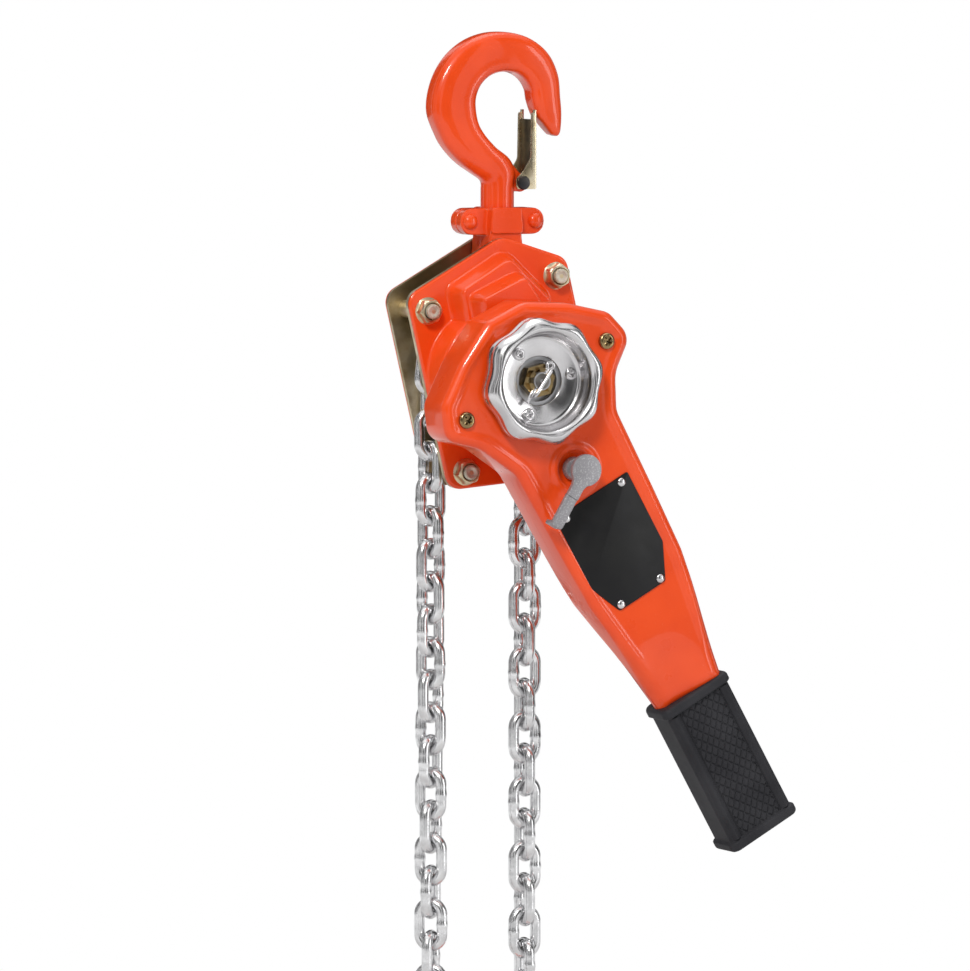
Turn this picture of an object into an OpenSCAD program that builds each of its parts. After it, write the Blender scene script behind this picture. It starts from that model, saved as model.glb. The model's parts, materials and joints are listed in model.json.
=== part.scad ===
// Lever chain hoist, 0.75 t, on 6 x 18 mm load chain. Millimetres, +Z up, the lever side faces -Y.
// Origin: centre of the top hook's bowl, on the axis that the hook swivels about.

/* [Pose] */
// Tilt of the hoist body away from the plumb line
body_tilt = 13.3; // [9:0.1:17]
// Angle of the lever from straight down
lever_angle = 29.3; // [20:0.1:60]

/* [Load chain] */
// Diameter of the chain wire
wire_d = 6; // [5.5:0.1:6.3]
// Inside length of one link
pitch = 18.2; // [17.8:0.1:18.6]
// Outside width of one link
link_w = 19.4; // [19.2:0.1:20.4]
// Play of each link in its neighbour
link_play = 0.2; // [0.15:0.01:0.3]
// Links of the load strand below the body
load_links = 17; // [9:2:25]
// Links of the free strand below the body
free_links = 17; // [9:2:25]
// Turn of each free link on the one above
free_twist = 2.4; // [0:0.1:4]
// Turn of the first free link about the plumb line
free_turn = 10; // [0:1:20]

/* [Hooks] */
// Radius of the hook bowl
bowl_r = 17.3; // [16.5:0.1:18]
// Thickness of the hook at the crown
crown_t = 22.2; // [20:0.1:24]
// Thickness of the hook at its back
back_t = 26.4; // [24:0.1:28]
// Width of the hook across its flat faces
hook_w = 18; // [16:0.5:20]
// Radius of the round shank
shank_r = 9.3; // [8:0.1:9.5]
// Drop from the bowl centre to the top of the yoke
shank_drop = 57; // [56:0.5:60]
// Radius of the collar that the yoke holds
collar_r = 11; // [10.5:0.1:11.4]
// Thickness of that collar
collar_t = 6; // [5:0.5:7]

/* [Latches] */
// Distance of the latch pivot from the swivel axis
latch_x = 11.8; // [11:0.1:13]
// Drop of the latch pivot below the bowl centre
latch_drop = 44; // [43:0.5:46]
// Outside width of the latch channel
latch_w = 18; // [17.5:0.1:19]
// Sheet thickness of the latch
latch_t = 1.4; // [1:0.1:1.6]
// Radius of the latch pivot pin
latch_pin_r = 2.6; // [2:0.1:3]

/* [Yokes] */
// Drop from the bowl centre to the yoke pin
pin_drop = 87.5; // [85:0.1:90]
// Radius of the yoke pin
yoke_pin_r = 5; // [4.5:0.1:5.5]
// Half span of the yoke's riveted ears
ear_reach = 25.5; // [25:0.1:29]
// Distance of the ear rivets from the swivel axis
rivet_x = 20; // [19:0.5:21]
// Height of the riveted ears
ear_h = 15.5; // [14:0.5:17]
// Thickness of one yoke half at its ears
ear_t = 7; // [6:0.1:8]
// Width of the yoke block
block_w = 20; // [19:0.5:22]
// Thickness of one yoke half at its block
block_t = 13; // [12.4:0.1:13.2]
// Radius of the chain pin in the bottom yoke
chain_pin_r = 3.4; // [3:0.1:3.8]

/* [Body] */
// Yoke pin from the shaft, across the body
pin_x = 25.4; // [24:0.1:28]
// Yoke pin from the shaft, up the body
pin_z = 58; // [56:0.1:60]
// Reach of the side plates left of the shaft
plate_left = 39.7; // [38:0.1:43]
// Reach of the side plates right of the shaft
plate_right = 59.5; // [58:0.1:64]
// Height of the plates' peak above the shaft
plate_peak = 73; // [71:0.1:75]
// Height of the plates' shoulders above the shaft
plate_top = 55; // [52:0.1:57]
// Depth of the plates' lower corners below the shaft
plate_foot = 55.5; // [53:0.1:58]
// Gap between the side plates
plate_gap = 23.4; // [23.2:0.1:25]
// Thickness of a side plate
plate_t = 2.5; // [2:0.1:3.5]
// Sheet thickness of the brake cover and the gear cover
cover_t = 1.5; // [1.2:0.1:2]
// Depth of the brake cover over its plate
brake_depth = 28.8; // [28.4:0.1:30]
// Depth of the gear cover over its plate
gear_depth = 38; // [37:0.5:42]
// Radius of the brake cover's drum
drum_r = 37; // [36:0.1:38]
// Radius of the stay bolts between the plates
stay_r = 5; // [4.5:0.1:5.5]
// Radius of the stay bolts' threaded ends
stud_r = 4; // [3.5:0.1:4.2]
// Width across flats of the body nuts
nut_flats = 13; // [12:0.5:14]

/* [Sheave and gears] */
// Radius of the sheave's cheeks
cheek_r = 32.5; // [31:0.1:33]
// Width of the sheave
sheave_w = 22.4; // [21.8:0.1:22.6]
// Radius of the sheave's journals
journal_r = 12; // [11.5:0.1:12.5]
// Outer radius of the sheave bearings
bearing_r = 16; // [15:0.1:17]
// Gear module
gear_module = 1.4; // [1.38:0.01:1.42]
// Face width of the load gear
load_gear_w = 9; // [8:0.5:10]
// Face width of the disc gears
disc_gear_w = 7; // [6:0.5:8]
// Play between a shaft and its bearing
running_play = 0.05; // [0.03:0.01:0.09]

/* [Brake] */
// Radius of the drive shaft
shaft_r = 7.5; // [7.2:0.1:7.8]
// Radius of the friction faces
friction_r = 22; // [20:0.5:24]
// Thickness of a friction plate
friction_t = 2; // [1.5:0.1:2.5]
// Radius over the ratchet teeth
ratchet_r = 30; // [29.6:0.1:30.2]
// Height of the ratchet teeth
ratchet_h = 3; // [2.6:0.1:3.2]
// Thickness of the ratchet disc
ratchet_t = 5; // [4.5:0.1:5.5]
// Distance of the pawl pins from the shaft
pawl_pin_at = 44; // [43.5:0.1:44.5]
// Radius of the pawl pins
pawl_pin_r = 3; // [2.6:0.1:3.4]

/* [Lever] */
// Length of the lever from the shaft to its end
lever_l = 293; // [284:0.5:304]
// Half span of the lever head over its screw lobes
head_span = 61.5; // [59:0.5:63]
// Turn of the lever's head against its neck
head_turn = 3.3; // [0:0.1:5]
// Half width of the lever neck
neck_w = 33.8; // [32:0.2:35]
// Overall thickness of the lever
lever_t = 27; // [26.4:0.1:28]
// Sheet thickness of the lever shells
shell_t = 2.4; // [2:0.1:2.8]
// Gap between the brake cover and the lever
lever_gap = 3; // [2:0.1:4]
// Distance of the head screws from the shaft
screw_at = 47.2; // [46.6:0.1:49]
// Length of the rubber grip
grip_l = 93; // [86:0.5:98]
// Half width of the rubber grip
grip_w = 23; // [21:0.5:26]
// Thickness of the rubber grip
grip_t = 28; // [26:0.5:30]
// Distance of the selector pivot from the shaft
selector_at = 54.5; // [52:0.1:56]
// Turn of the selector pivot from the lever's centre line
selector_off = 3.4; // [0:0.1:5]
// Length of the selector arm from its pivot
selector_l = 35.5; // [33:0.5:40]
// Angle of the selector arm from the lever
selector_angle = 60; // [50:1:65]
// Height of the selector above the lever
selector_h = 15; // [14:0.5:18]

/* [Handwheel] */
// Radius of the handwheel over its lobes
wheel_r = 35.5; // [33:0.5:38]
// Depth of the finger waves between the lobes
wave = 2.6; // [1.5:0.1:3.5]
// Depth of the handwheel
wheel_t = 14.5; // [12:0.5:16]
// Radius of the handwheel's dish
dish_r = 26.5; // [25.5:0.1:28]
// Radius of the hole in the dish
dish_hole_r = 13.5; // [12.5:0.1:14.5]
// Distance of the handwheel screws from the shaft
wheel_screw_at = 19.3; // [18.8:0.1:20]
// Gap between the lever and the handwheel
wheel_gap = 2; // [1.5:0.1:3]

/* [Hidden] */
$fn = 48;

paint = "#e8431a";
zinc = "#c9a866";
bright = "#c8cacd";
steel = "#8f9296";
black = "#26272a";
rubber = "#34343a";
grey = "#9b9ba1";
bronze = "#b08a4e";

// where the shaft lies under the hook
shaft_x = -(pin_x * cos(body_tilt) - pin_z * sin(body_tilt));
shaft_z = -pin_drop - (pin_x * sin(body_tilt) + pin_z * cos(body_tilt));

// the chain's polygon on the sheave: a flat and a standing link per pocket, with
// its corners where the ends of the flat links lie
pockets = 5;
link_turn = 180 / pockets;
wire_r = wire_d / 2;
bend_r = link_w / 2 - wire_r;
link_straight = pitch + link_play + 2 * wire_d - link_w;
flat_half = (pitch + wire_d) / 2;
standing_half = (pitch - wire_d) / 2;
chain_r = sqrt(flat_half ^ 2 + standing_half ^ 2 + 2 * flat_half * standing_half * cos(link_turn)) / sin(link_turn);
flat_r = sqrt(chain_r ^ 2 - flat_half ^ 2);
standing_r = sqrt(chain_r ^ 2 - standing_half ^ 2);
pocket_play = 0.5;
groove_r = standing_r - link_w / 2 - pocket_play;
phase = -7.2;
load_corner = phase + asin(flat_half / chain_r);
free_corner = phase + 180 + asin(standing_half / chain_r);
load_x = chain_r * cos(load_corner);
load_top = chain_r * sin(load_corner) - wire_r;
free_x = chain_r * cos(free_corner);
free_top = chain_r * sin(free_corner) - wire_r;

// levels along the shaft, -Y to the front
plate_in = plate_gap / 2;
plate_out = plate_in + plate_t;
cover_play = 0.1;
cover_in = plate_out + cover_play;
brake_y = -cover_in - brake_depth;
lever_back = brake_y - lever_gap;
lever_front = lever_back - lever_t;
lever_mid = (lever_back + lever_front) / 2;
wheel_back = lever_front - wheel_gap;
gear_y = cover_in + gear_depth;

// gear train
pinion_teeth = 11;
wheel_teeth = 27;
centre_dist = gear_module * (pinion_teeth + wheel_teeth) / 2;
tip_h = 0.8 * gear_module;
root_h = 1.1 * gear_module;
tooth_play = 0.16;
load_gear_y = plate_out + 2.5;
disc_gear_y = load_gear_y + load_gear_w + 2.5;
gear_end_y = disc_gear_y + disc_gear_w;

// brake stack, from the plate to the front
stack_play = 0.1;
hub_y = -plate_out - 3;
hub_t = 3;
plate1_y = hub_y - hub_t - stack_play;
ratchet_y = plate1_y - friction_t - stack_play;
plate2_y = ratchet_y - ratchet_t - stack_play;
member_y = plate2_y - friction_t - stack_play;
hub_r = 11;
member_r = 12.5;
ratchet_teeth = 20;
click = 360 / ratchet_teeth;
pawl_reach = 30;
pawl_angles = [66, 300];

// ---------- placing ----------

module in_body() {
    translate([0, 0, -pin_drop])
        rotate([0, -body_tilt, 0])
            translate([-pin_x, 0, -pin_z]) children();
}

module at_shaft() {
    translate([shaft_x, 0, shaft_z]) children();
}

module in_lever() {
    at_shaft() rotate([0, -lever_angle, 0]) children();
}

// a drawing in X and Z that is extruded towards the front from level y
module facing(y) {
    translate([0, y, 0]) rotate([90, 0, 0]) children();
}

// the bottom hook hangs upside down under the load strand
bottom_pin_z = load_top - pitch * (3 + load_links) + chain_pin_r + link_play / 2;

module at_bottom() {
    at_shaft() translate([load_x, 0, bottom_pin_z - pin_drop]) mirror([0, 0, 1]) children();
}

// ---------- drawing helpers ----------

// an arc that rounds corner p between a and b
function corner(a, p, b, r, n) =
    let (u = (a - p) / norm(a - p), v = (b - p) / norm(b - p),
         half = acos(u * v) / 2,
         c = p + (u + v) / norm(u + v) * r / sin(half),
         s = p + u * r / tan(half) - c, e = p + v * r / tan(half) - c,
         a0 = atan2(s.y, s.x), turn = atan2(s.x * e.y - s.y * e.x, s * e))
    [for (i = [0:n]) c + r * [cos(a0 + turn * i / n), sin(a0 + turn * i / n)]];

// a closed outline from [x, y, corner radius] points
function rounded(pts, n = 6) =
    [for (i = [0:len(pts) - 1])
        let (a = pts[(i + len(pts) - 1) % len(pts)], p = pts[i], b = pts[(i + 1) % len(pts)])
        each corner([a.x, a.y], [p.x, p.y], [b.x, b.y], p.z, n)];

// the mirrored second half of an outline that is symmetric about the Y axis
function mirrored(half) =
    concat(half, [for (i = [len(half) - 1:-1:0]) [-half[i].x, half[i].y, half[i].z]]);

// rings of equal length joined into a closed skin
module skin(rings) {
    n = len(rings[0]);
    m = len(rings);
    polyhedron(
        points = [for (ring = rings) each ring],
        faces = concat(
            [[for (i = [0:n - 1]) i]],
            [for (k = [0:m - 2], i = [0:n - 1])
                [k * n + i, (k + 1) * n + i, (k + 1) * n + (i + 1) % n, k * n + (i + 1) % n]],
            [[for (i = [n - 1:-1:0]) (m - 1) * n + i]]),
        convexity = 8);
}

// a helical spring along +Z
module coil(r, wire, turns, height, sides = 6, steps = 14) {
    skin([for (k = [0:turns * steps])
        let (a = 360 * k / steps, z = height * k / (turns * steps))
        [for (s = [0:sides - 1])
            let (b = -360 * s / sides)
            [(r + wire * cos(b)) * cos(a), (r + wire * cos(b)) * sin(a), z + wire * sin(b)]]]);
}

module tube(r_out, r_in, h) {
    difference() {
        cylinder(r = r_out, h = h);
        translate([0, 0, -1]) cylinder(r = r_in, h = h + 2);
    }
}

// a hexagonal nut on a stud, its washer face down
module nut(flats, h, bore) {
    difference() {
        union() {
            cylinder(r = flats * 0.62, h = 0.8);
            intersection() {
                cylinder(d = flats / cos(30), h = h, $fn = 6);
                cylinder(r1 = flats * 0.57 + h, r2 = flats * 0.51, h = h);
            }
        }
        translate([0, 0, -1]) cylinder(r = bore, h = h + 2);
    }
}

// a pan-head screw with a cross recess, its head's seat at 0 and its shank below
module pan_screw(head_r, head_h, shank, length) {
    difference() {
        union() {
            cylinder(r1 = head_r, r2 = head_r * 0.8, h = head_h);
            translate([0, 0, -length]) cylinder(r = shank, h = length + 1);
        }
        for (a = [0, 90])
            translate([0, 0, head_h])
                rotate([0, 0, a])
                    cube([head_r * 1.1, head_r * 0.26, head_h], center = true);
    }
}

// ---------- chain ----------

// one link, its long axis on Z and its plane XZ
module link() {
    for (s = [0, 1])
        mirror([0, 0, s])
            translate([0, 0, link_straight / 2])
                rotate([90, 0, 0])
                    rotate_extrude(angle = 180)
                        translate([bend_r, 0]) circle(r = wire_r);
    for (s = [-1, 1])
        translate([s * bend_r, 0, -link_straight / 2])
            cylinder(r = wire_r, h = link_straight);
}

// links hanging down from the contact point at the top, the first turned by first_turn
module strand(count, first_turn, twist = 0) {
    for (k = [0:count - 1])
        translate([0, 0, -pitch * (k + 0.5)])
            rotate([0, 0, first_turn + 90 * k + twist * k]) link();
}

// the stretch inside the body: hanging links on both sides and the links on the sheave
module chain_on_sheave() {
    color(bright) at_shaft() {
        translate([load_x, 0, load_top]) strand(3, 90);
        translate([free_x, 0, free_top]) strand(2, 90);
        for (k = [1:pockets])
            rotate([0, -(phase + link_turn * k), 0])
                translate([k % 2 == 0 ? flat_r : standing_r, 0, 0])
                    rotate([0, 0, k % 2 == 0 ? 90 : 0]) link();
    }
}

module load_chain() {
    color(bright) at_shaft()
        translate([load_x, 0, load_top - 3 * pitch]) strand(load_links, 0);
}

module free_chain() {
    color(bright) at_shaft()
        translate([free_x, 0, free_top - 2 * pitch]) strand(free_links, 90 + free_turn, free_twist);
}

// a stop ring through the last free link
ring_r = 15;
ring_turn = free_turn + 90 * free_links + free_twist * (free_links - 1);
ring_wire_r = wire_r - 0.5;
ring_z = free_top - pitch * (2 + free_links) + ring_wire_r + link_play / 2;

module chain_end_ring() {
    color(bright) at_shaft()
        translate([free_x, 0, ring_z - ring_r])
            rotate([0, 0, ring_turn]) rotate([0, 90, 0])
                rotate_extrude() translate([ring_r, 0]) circle(r = ring_wire_r);
}

// ---------- hooks ----------

// stations of the hook from its point to its neck: inner x, z, outer x, z and width
bowl_x = 1.8;
point_t = 17.9;
hook_tip = [
    [31.5, -17.6, 36.2, -18.8, 7],
    [29.5, -15.4, 37.5, -16.7, 9.5],
    [26, -11.4, 38.1, -11.4, 11.5],
    [22, -6.6, 38.2, -4.6, 12.5]
];
hook_neck = [
    [-13.8, -10.5, -37, -17, 1],
    [-9.5, -17.5, -32, -25, 1],
    [-3, -24, -24, -33, 1],
    [5.5, -30, -15.5, -38.8, 1],
    [9.2, -37, -9.6, -43, 1]
];

function bowl_station(a) =
    let (t = a < 90 ? point_t + (crown_t - point_t) * min(1, a / 50) : crown_t + (back_t - crown_t) * (a - 90) / 90,
         r = bowl_r + (a < 90 ? sin(2 * a) : 0))
    [bowl_x + r * cos(a), r * sin(a),
     bowl_x + (bowl_r + t) * cos(a), (bowl_r + t) * sin(a),
     14 + (hook_w - 14) * min(1, a / 60)];

hook_stations = concat(
    hook_tip,
    [for (a = [5:20:185]) bowl_station(a)],
    [for (s = hook_neck) [s[0], s[1], s[2], s[3], hook_w]],
    [[shank_r, -46, -shank_r, -46, 2 * shank_r]]);

// a rounded section, flat on its faces and narrower outside
function hook_ring(s, sides = 16) =
    let (inner = [s[0], s[1]], outer = [s[2], s[3]], mid = (inner + outer) / 2, out = (outer - inner) / 2)
    [for (i = [0:sides - 1])
        let (a = 360 * i / sides,
             c = sign(cos(a)) * pow(abs(cos(a)), 0.8),
             w = sign(sin(a)) * pow(abs(sin(a)), 0.7) * s[4] / 2 * (1 - 0.1 * c),
             p = mid + out * c)
        [p.x, w, p.y]];

module hook() {
    skin([for (s = hook_stations) hook_ring(s)]);
    translate([0, 0, -shank_drop - 2 - collar_t])
        cylinder(r = shank_r, h = shank_drop + 2 + collar_t - 45);
    translate([0, 0, collar_top - collar_t]) cylinder(r = collar_r, h = collar_t);
    // lug for the latch
    difference() {
        hull() {
            translate([latch_x, lug_w / 2, -latch_drop]) rotate([90, 0, 0]) cylinder(r = lug_r, h = lug_w, $fn = 32);
            translate([shank_r - 3, -lug_w / 2, -latch_drop - 2]) cube([1, lug_w, 14]);
        }
        translate([latch_x, lug_w, -latch_drop])
            rotate([90, 0, 0]) cylinder(r = latch_pin_r + running_play, h = 2 * lug_w);
    }
}
lug_w = 9;
lug_r = 5.2;
collar_top = -shank_drop - 5;

// latch channel, open towards the bowl
latch_web_x = 19.8;
latch_top = -3.6;
module latch() {
    difference() {
        facing(latch_w / 2)
            linear_extrude(latch_w)
                polygon(rounded([
                    [latch_web_x, latch_top, 0.5],
                    [latch_web_x - 3.2, latch_top - 1.5, 1.4],
                    [latch_web_x - 3.6, -latch_drop + 13, 6],
                    [latch_x, -latch_drop + 6, 3],
                    [latch_x - 4.4, -latch_drop + 2.6, 3.4],
                    [latch_x - 4.4, -latch_drop - 3.6, 2.6],
                    [latch_web_x, -latch_drop - 3.6, 0.5]]));
        // the channel's inside, the notch for the hook's point and the pivot holes
        translate([0, -latch_w / 2 + latch_t, -latch_drop - 10])
            cube([latch_web_x - latch_t, latch_w - 2 * latch_t, latch_drop + 10]);
        translate([latch_web_x - 10, -6.8, latch_top - 6]) cube([20, 13.6, 20]);
        translate([latch_web_x - 10, -6.8, -latch_drop - 10]) cube([20, 13.6, 13]);
        translate([latch_x, latch_w, -latch_drop])
            rotate([90, 0, 0]) cylinder(r = latch_pin_r + running_play, h = 2 * latch_w);
    }
}

module latch_pin() {
    for (s = [-1, 1])
        translate([latch_x, s * (latch_w / 2 + 0.1), -latch_drop])
            rotate([-90 * s, 0, 0]) cylinder(r1 = 3.8, r2 = 3.3, h = 1.4);
    translate([latch_x, latch_w / 2 + 0.6, -latch_drop])
        rotate([90, 0, 0]) cylinder(r = latch_pin_r, h = latch_w + 1.2);
}

module latch_spring() {
    translate([latch_x, lug_w / 2 + 1, -latch_drop])
        rotate([-90, 0, 0]) coil(latch_pin_r + 0.55, 0.4, 2, latch_w / 2 - latch_t - lug_w / 2 - 1.5);
}

module top_hook() { color(paint) hook(); }
module top_latch() { color(zinc) latch(); }
module top_latch_pin() { color(black) latch_pin(); }
module top_latch_spring() { color(steel) latch_spring(); }
module bottom_hook() { color(paint) at_bottom() hook(); }
module bottom_latch() { color(zinc) at_bottom() latch(); }
module bottom_latch_pin() { color(black) at_bottom() latch_pin(); }
module bottom_latch_spring() { color(steel) at_bottom() latch_spring(); }

// ---------- yokes ----------

// one half, on the side s of the split plane; the lug below carries a pin
module yoke_half(s, lug, bore, slot) {
    mirror([0, s > 0 ? 1 : 0, 0])
        difference() {
            union() {
                // block round the shank
                facing(-0.05)
                    linear_extrude(block_t)
                        polygon(rounded([
                            [-block_w / 2 + 1, -shank_drop - 0.5, 2], [block_w / 2 - 1, -shank_drop - 0.5, 2],
                            [block_w / 2, block_foot, 2], [-block_w / 2, block_foot, 2]]));
                // ears
                facing(-0.05)
                    linear_extrude(ear_t)
                        polygon(rounded([
                            [-ear_reach, -shank_drop - 0.8, 7], [ear_reach, -shank_drop - 0.8, 7],
                            [ear_reach, -shank_drop - ear_h, 7], [-ear_reach, -shank_drop - ear_h, 7]]));
                // lug
                facing(-0.05)
                    linear_extrude(yoke_lug_t)
                        polygon(concat(
                            [[block_w / 2 - 0.5, -shank_drop - ear_h + 3], [-block_w / 2 + 0.5, -shank_drop - ear_h + 3]],
                            [for (a = [180:12:360]) [lug * cos(a), -pin_drop + lug * sin(a)]]));
            }
            // shank, collar, pin and rivet holes
            translate([0, 0, -shank_drop - 10]) cylinder(r = shank_r + running_play, h = 20);
            translate([0, 0, collar_top - collar_t - 0.3]) cylinder(r = collar_r + 0.1, h = collar_t + 0.6);
            translate([0, 1, -pin_drop]) rotate([90, 0, 0]) cylinder(r = bore, h = 2 * block_t);
            for (x = [-rivet_x, rivet_x])
                translate([x, 1, rivet_z]) rotate([90, 0, 0]) cylinder(r = rivet_r, h = 2 * ear_t);
            if (slot > 0)
                translate([-lug - 1, -slot / 2, -pin_drop - lug - 1])
                    cube([2 * lug + 2, slot, lug + 11]);
        }
}
rivet_z = -shank_drop - ear_h / 2 - 0.3;
// the block ends above the side plates and the lug fits between them
block_foot = plate_peak - pin_z + 0.8 - pin_drop;
yoke_lug_t = plate_gap / 2 - 0.35;
rivet_r = 3;

module yoke_rivet(x) {
    for (s = [-1, 1])
        translate([x, s * (ear_t + 0.05), rivet_z])
            rotate([-90 * s, 0, 0])
                rotate_extrude()
                    intersection() {
                        translate([0, -1.6]) circle(r = 4.7);
                        square([5, 4]);
                    }
    translate([x, ear_t + 0.1, rivet_z]) rotate([90, 0, 0]) cylinder(r = rivet_r, h = 2 * ear_t + 0.2);
}

module top_yoke_front() { color(paint) yoke_half(-1, 11, yoke_pin_r + running_play, 0); }
module top_yoke_rear() { color(paint) yoke_half(1, 11, yoke_pin_r + running_play, 0); }
module top_yoke_rivets() { color(paint) for (x = [-rivet_x, rivet_x]) yoke_rivet(x); }

chain_slot = wire_d + 1;
module bottom_yoke_front() { color(paint) at_bottom() yoke_half(-1, 8, chain_pin_r, chain_slot); }
module bottom_yoke_rear() { color(paint) at_bottom() yoke_half(1, 8, chain_pin_r, chain_slot); }
module bottom_yoke_pins() {
    color(zinc) at_bottom() {
        for (x = [-rivet_x, rivet_x]) yoke_rivet(x);
        translate([0, yoke_lug_t, -pin_drop])
            rotate([90, 0, 0]) cylinder(r = chain_pin_r, h = 2 * yoke_lug_t);
    }
}

// ---------- body frame ----------

body_outline = rounded([
    [-plate_left, plate_top, 9], [24, plate_peak, 13], [plate_right, plate_top - 3.2, 9],
    [plate_right, -plate_foot + 1, 9], [14, -plate_foot - 8, 16], [-plate_left, -plate_foot, 9]], 8);

// stay bolts cross the body; the last is a short stud beside the free strand
stays = [[-29.4, 44.3], [50.8, 43.8], [48.5, -46.5]];
short_stud = [-27.6, -48];
gear_at = [[0, centre_dist], [0, -centre_dist]];
pawl_at = [for (a = pawl_angles) pawl_pin_at * [cos(a), sin(a)]];

module body_plate(front) {
    difference() {
        linear_extrude(plate_t) polygon(body_outline);
        cylinder(r = bearing_r, h = 20, center = true);
        for (p = stays) translate(p) cylinder(r = stud_r, h = 20, center = true);
        translate([pin_x, pin_z]) cylinder(r = yoke_pin_r, h = 20, center = true);
        if (front)
            for (p = concat(pawl_at, [short_stud]))
                translate(p) cylinder(r = pawl_pin_r, h = 20, center = true);
        if (!front)
            for (p = gear_at) translate(p) cylinder(r = bush_r, h = 20, center = true);
    }
}
bush_r = 6;
gear_pin_r = 4;

module front_plate() { color(zinc) in_body() facing(-plate_in) body_plate(true); }
module rear_plate() { color(zinc) in_body() facing(plate_out) body_plate(false); }

module yoke_pin() {
    color(steel) in_body() {
        translate([pin_x, plate_out, pin_z])
            rotate([90, 0, 0]) cylinder(r = yoke_pin_r, h = 2 * plate_out);
    }
}

nut_h = 7;
nut_seat = cover_in + cover_t;
stud_end = nut_seat + nut_h + 1.4;

module stay_bolts() {
    color(zinc) in_body() {
        for (p = stays) {
            facing(plate_in) translate(p) cylinder(r = stay_r, h = plate_gap);
            facing(stud_end) translate(p) cylinder(r = stud_r, h = 2 * stud_end);
        }
        facing(-plate_in) translate(short_stud) cylinder(r = pawl_pin_r, h = stud_end - plate_in);
    }
}

module front_nuts() {
    color(zinc) in_body() {
        for (p = stays) facing(-nut_seat) translate(p) nut(nut_flats, nut_h, stud_r);
        facing(-nut_seat) translate(short_stud) nut(nut_flats, nut_h, pawl_pin_r);
    }
}

module rear_nuts() {
    color(zinc) in_body()
        for (p = stays) translate([0, nut_seat, 0]) rotate([-90, 0, 0]) translate([p.x, -p.y]) nut(nut_flats, nut_h, stud_r);
}

// a finger that clears the chain off the sheave, between the two strands
stripper_w = 5.6;
stripper_top = -groove_r - 0.4;
module chain_stripper() {
    color(steel) at_shaft() {
        facing(stripper_w / 2)
            linear_extrude(stripper_w)
                polygon(rounded([[-11, -38, 2], [-5, -27, 1], [-4, stripper_top, 1], [4, stripper_top, 1],
                                 [5, -27, 1], [11, -38, 2], [8, -50, 3], [-8, -50, 3]]));
        // its pin, held between the plates
        facing(plate_in - 0.01) translate([0, -45]) cylinder(r = 4, h = plate_gap - 0.02);
    }
}

// ---------- covers ----------

// a pressed step with sloped walls
module step(base, top, y0, y1) {
    hull() {
        facing(y0) linear_extrude(0.1) polygon(base);
        facing(y1 + 0.1) linear_extrude(0.1) polygon(top);
    }
}

// an outline drawn in towards the shaft by d
function inset(pts, d) = [for (p = pts) p * (1 - d / norm(p))];

tower_low = rounded([[-15, 20, 8], [-14.5, 55, 7], [24, 66, 11], [47, 30, 10], [20, 10, 5]]);
tower_high = rounded([[-9, 20, 8], [-8.5, 49, 6], [24, 54.5, 8], [33, 27, 8], [20, 10, 5]]);
heel = rounded([[2, -8, 5], [43, -20, 8], [43, -46, 10], [8, -55, 10]]);
drum = [for (i = [0:47]) drum_r * [cos(7.5 * i), sin(7.5 * i)]];
low_step = 13;
high_step = 26;

// the outside of the brake cover, or its inside when drawn in by d
module brake_form(d) {
    step(inset(drum, d), inset(drum, d + 5.5), -cover_in, -cover_in - brake_depth + d);
    facing(-cover_in) linear_extrude(low_step - d) polygon(inset(tower_low, d + 1));
    step(inset(tower_high, d - 3), inset(tower_high, d), -cover_in, -cover_in - high_step + d);
    step(inset(heel, d), inset(heel, d + 5), -cover_in, -cover_in - high_step + d);
}

cover_hole_r = 14;
// how far the hollow of a cover starts behind its sheet
form_over = 0.3;
module brake_cover() {
    color(paint) in_body()
        difference() {
            union() {
                facing(-cover_in) linear_extrude(cover_t) polygon(body_outline);
                brake_form(0);
            }
            translate([0, form_over, 0]) brake_form(cover_t);
            facing(0) cylinder(r = cover_hole_r, h = 100);
            for (p = stays) facing(0) translate(p) cylinder(r = stud_r, h = 60);
            facing(0) translate(short_stud) cylinder(r = pawl_pin_r, h = 60);
        }
}

gear_form_w = 24;
gear_form_h = 54;
gear_low = rounded([[-gear_form_w, gear_form_h, 23], [gear_form_w, gear_form_h, 23],
                    [gear_form_w, -gear_form_h, 23], [-gear_form_w, -gear_form_h, 23]], 8);
module gear_form(d) {
    step(inset(gear_low, d), inset(gear_low, d + 1.5), cover_in + 0.1, gear_y - d - 0.1);
}

boss_y = gear_end_y + 1;
module gear_cover() {
    color(paint) in_body() {
        difference() {
            union() {
                facing(cover_in + cover_t) linear_extrude(cover_t) polygon(body_outline);
                gear_form(0);
            }
            translate([0, -form_over, 0]) gear_form(cover_t);
            for (p = stays) facing(40) translate(p) cylinder(r = stud_r, h = 40);
        }
        // bosses that carry the gear and shaft bushes
        for (p = concat(gear_at, [[0, 0]]))
            facing(gear_y - 1)
                translate(p)
                    difference() {
                        cylinder(r = bush_r + 2.5, h = gear_y - 1 - boss_y);
                        translate([0, 0, 2]) cylinder(r = bush_r, h = 40);
                    }
    }
}

// ---------- sheave and gears ----------

// a stub-tooth gear with involute flanks; a tooth stands on the +Y axis when shift is 0
pressure = 25;
function involute(rb, r) = let (a = acos(min(1, rb / r))) tan(a) * 180 / PI - a;

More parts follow.
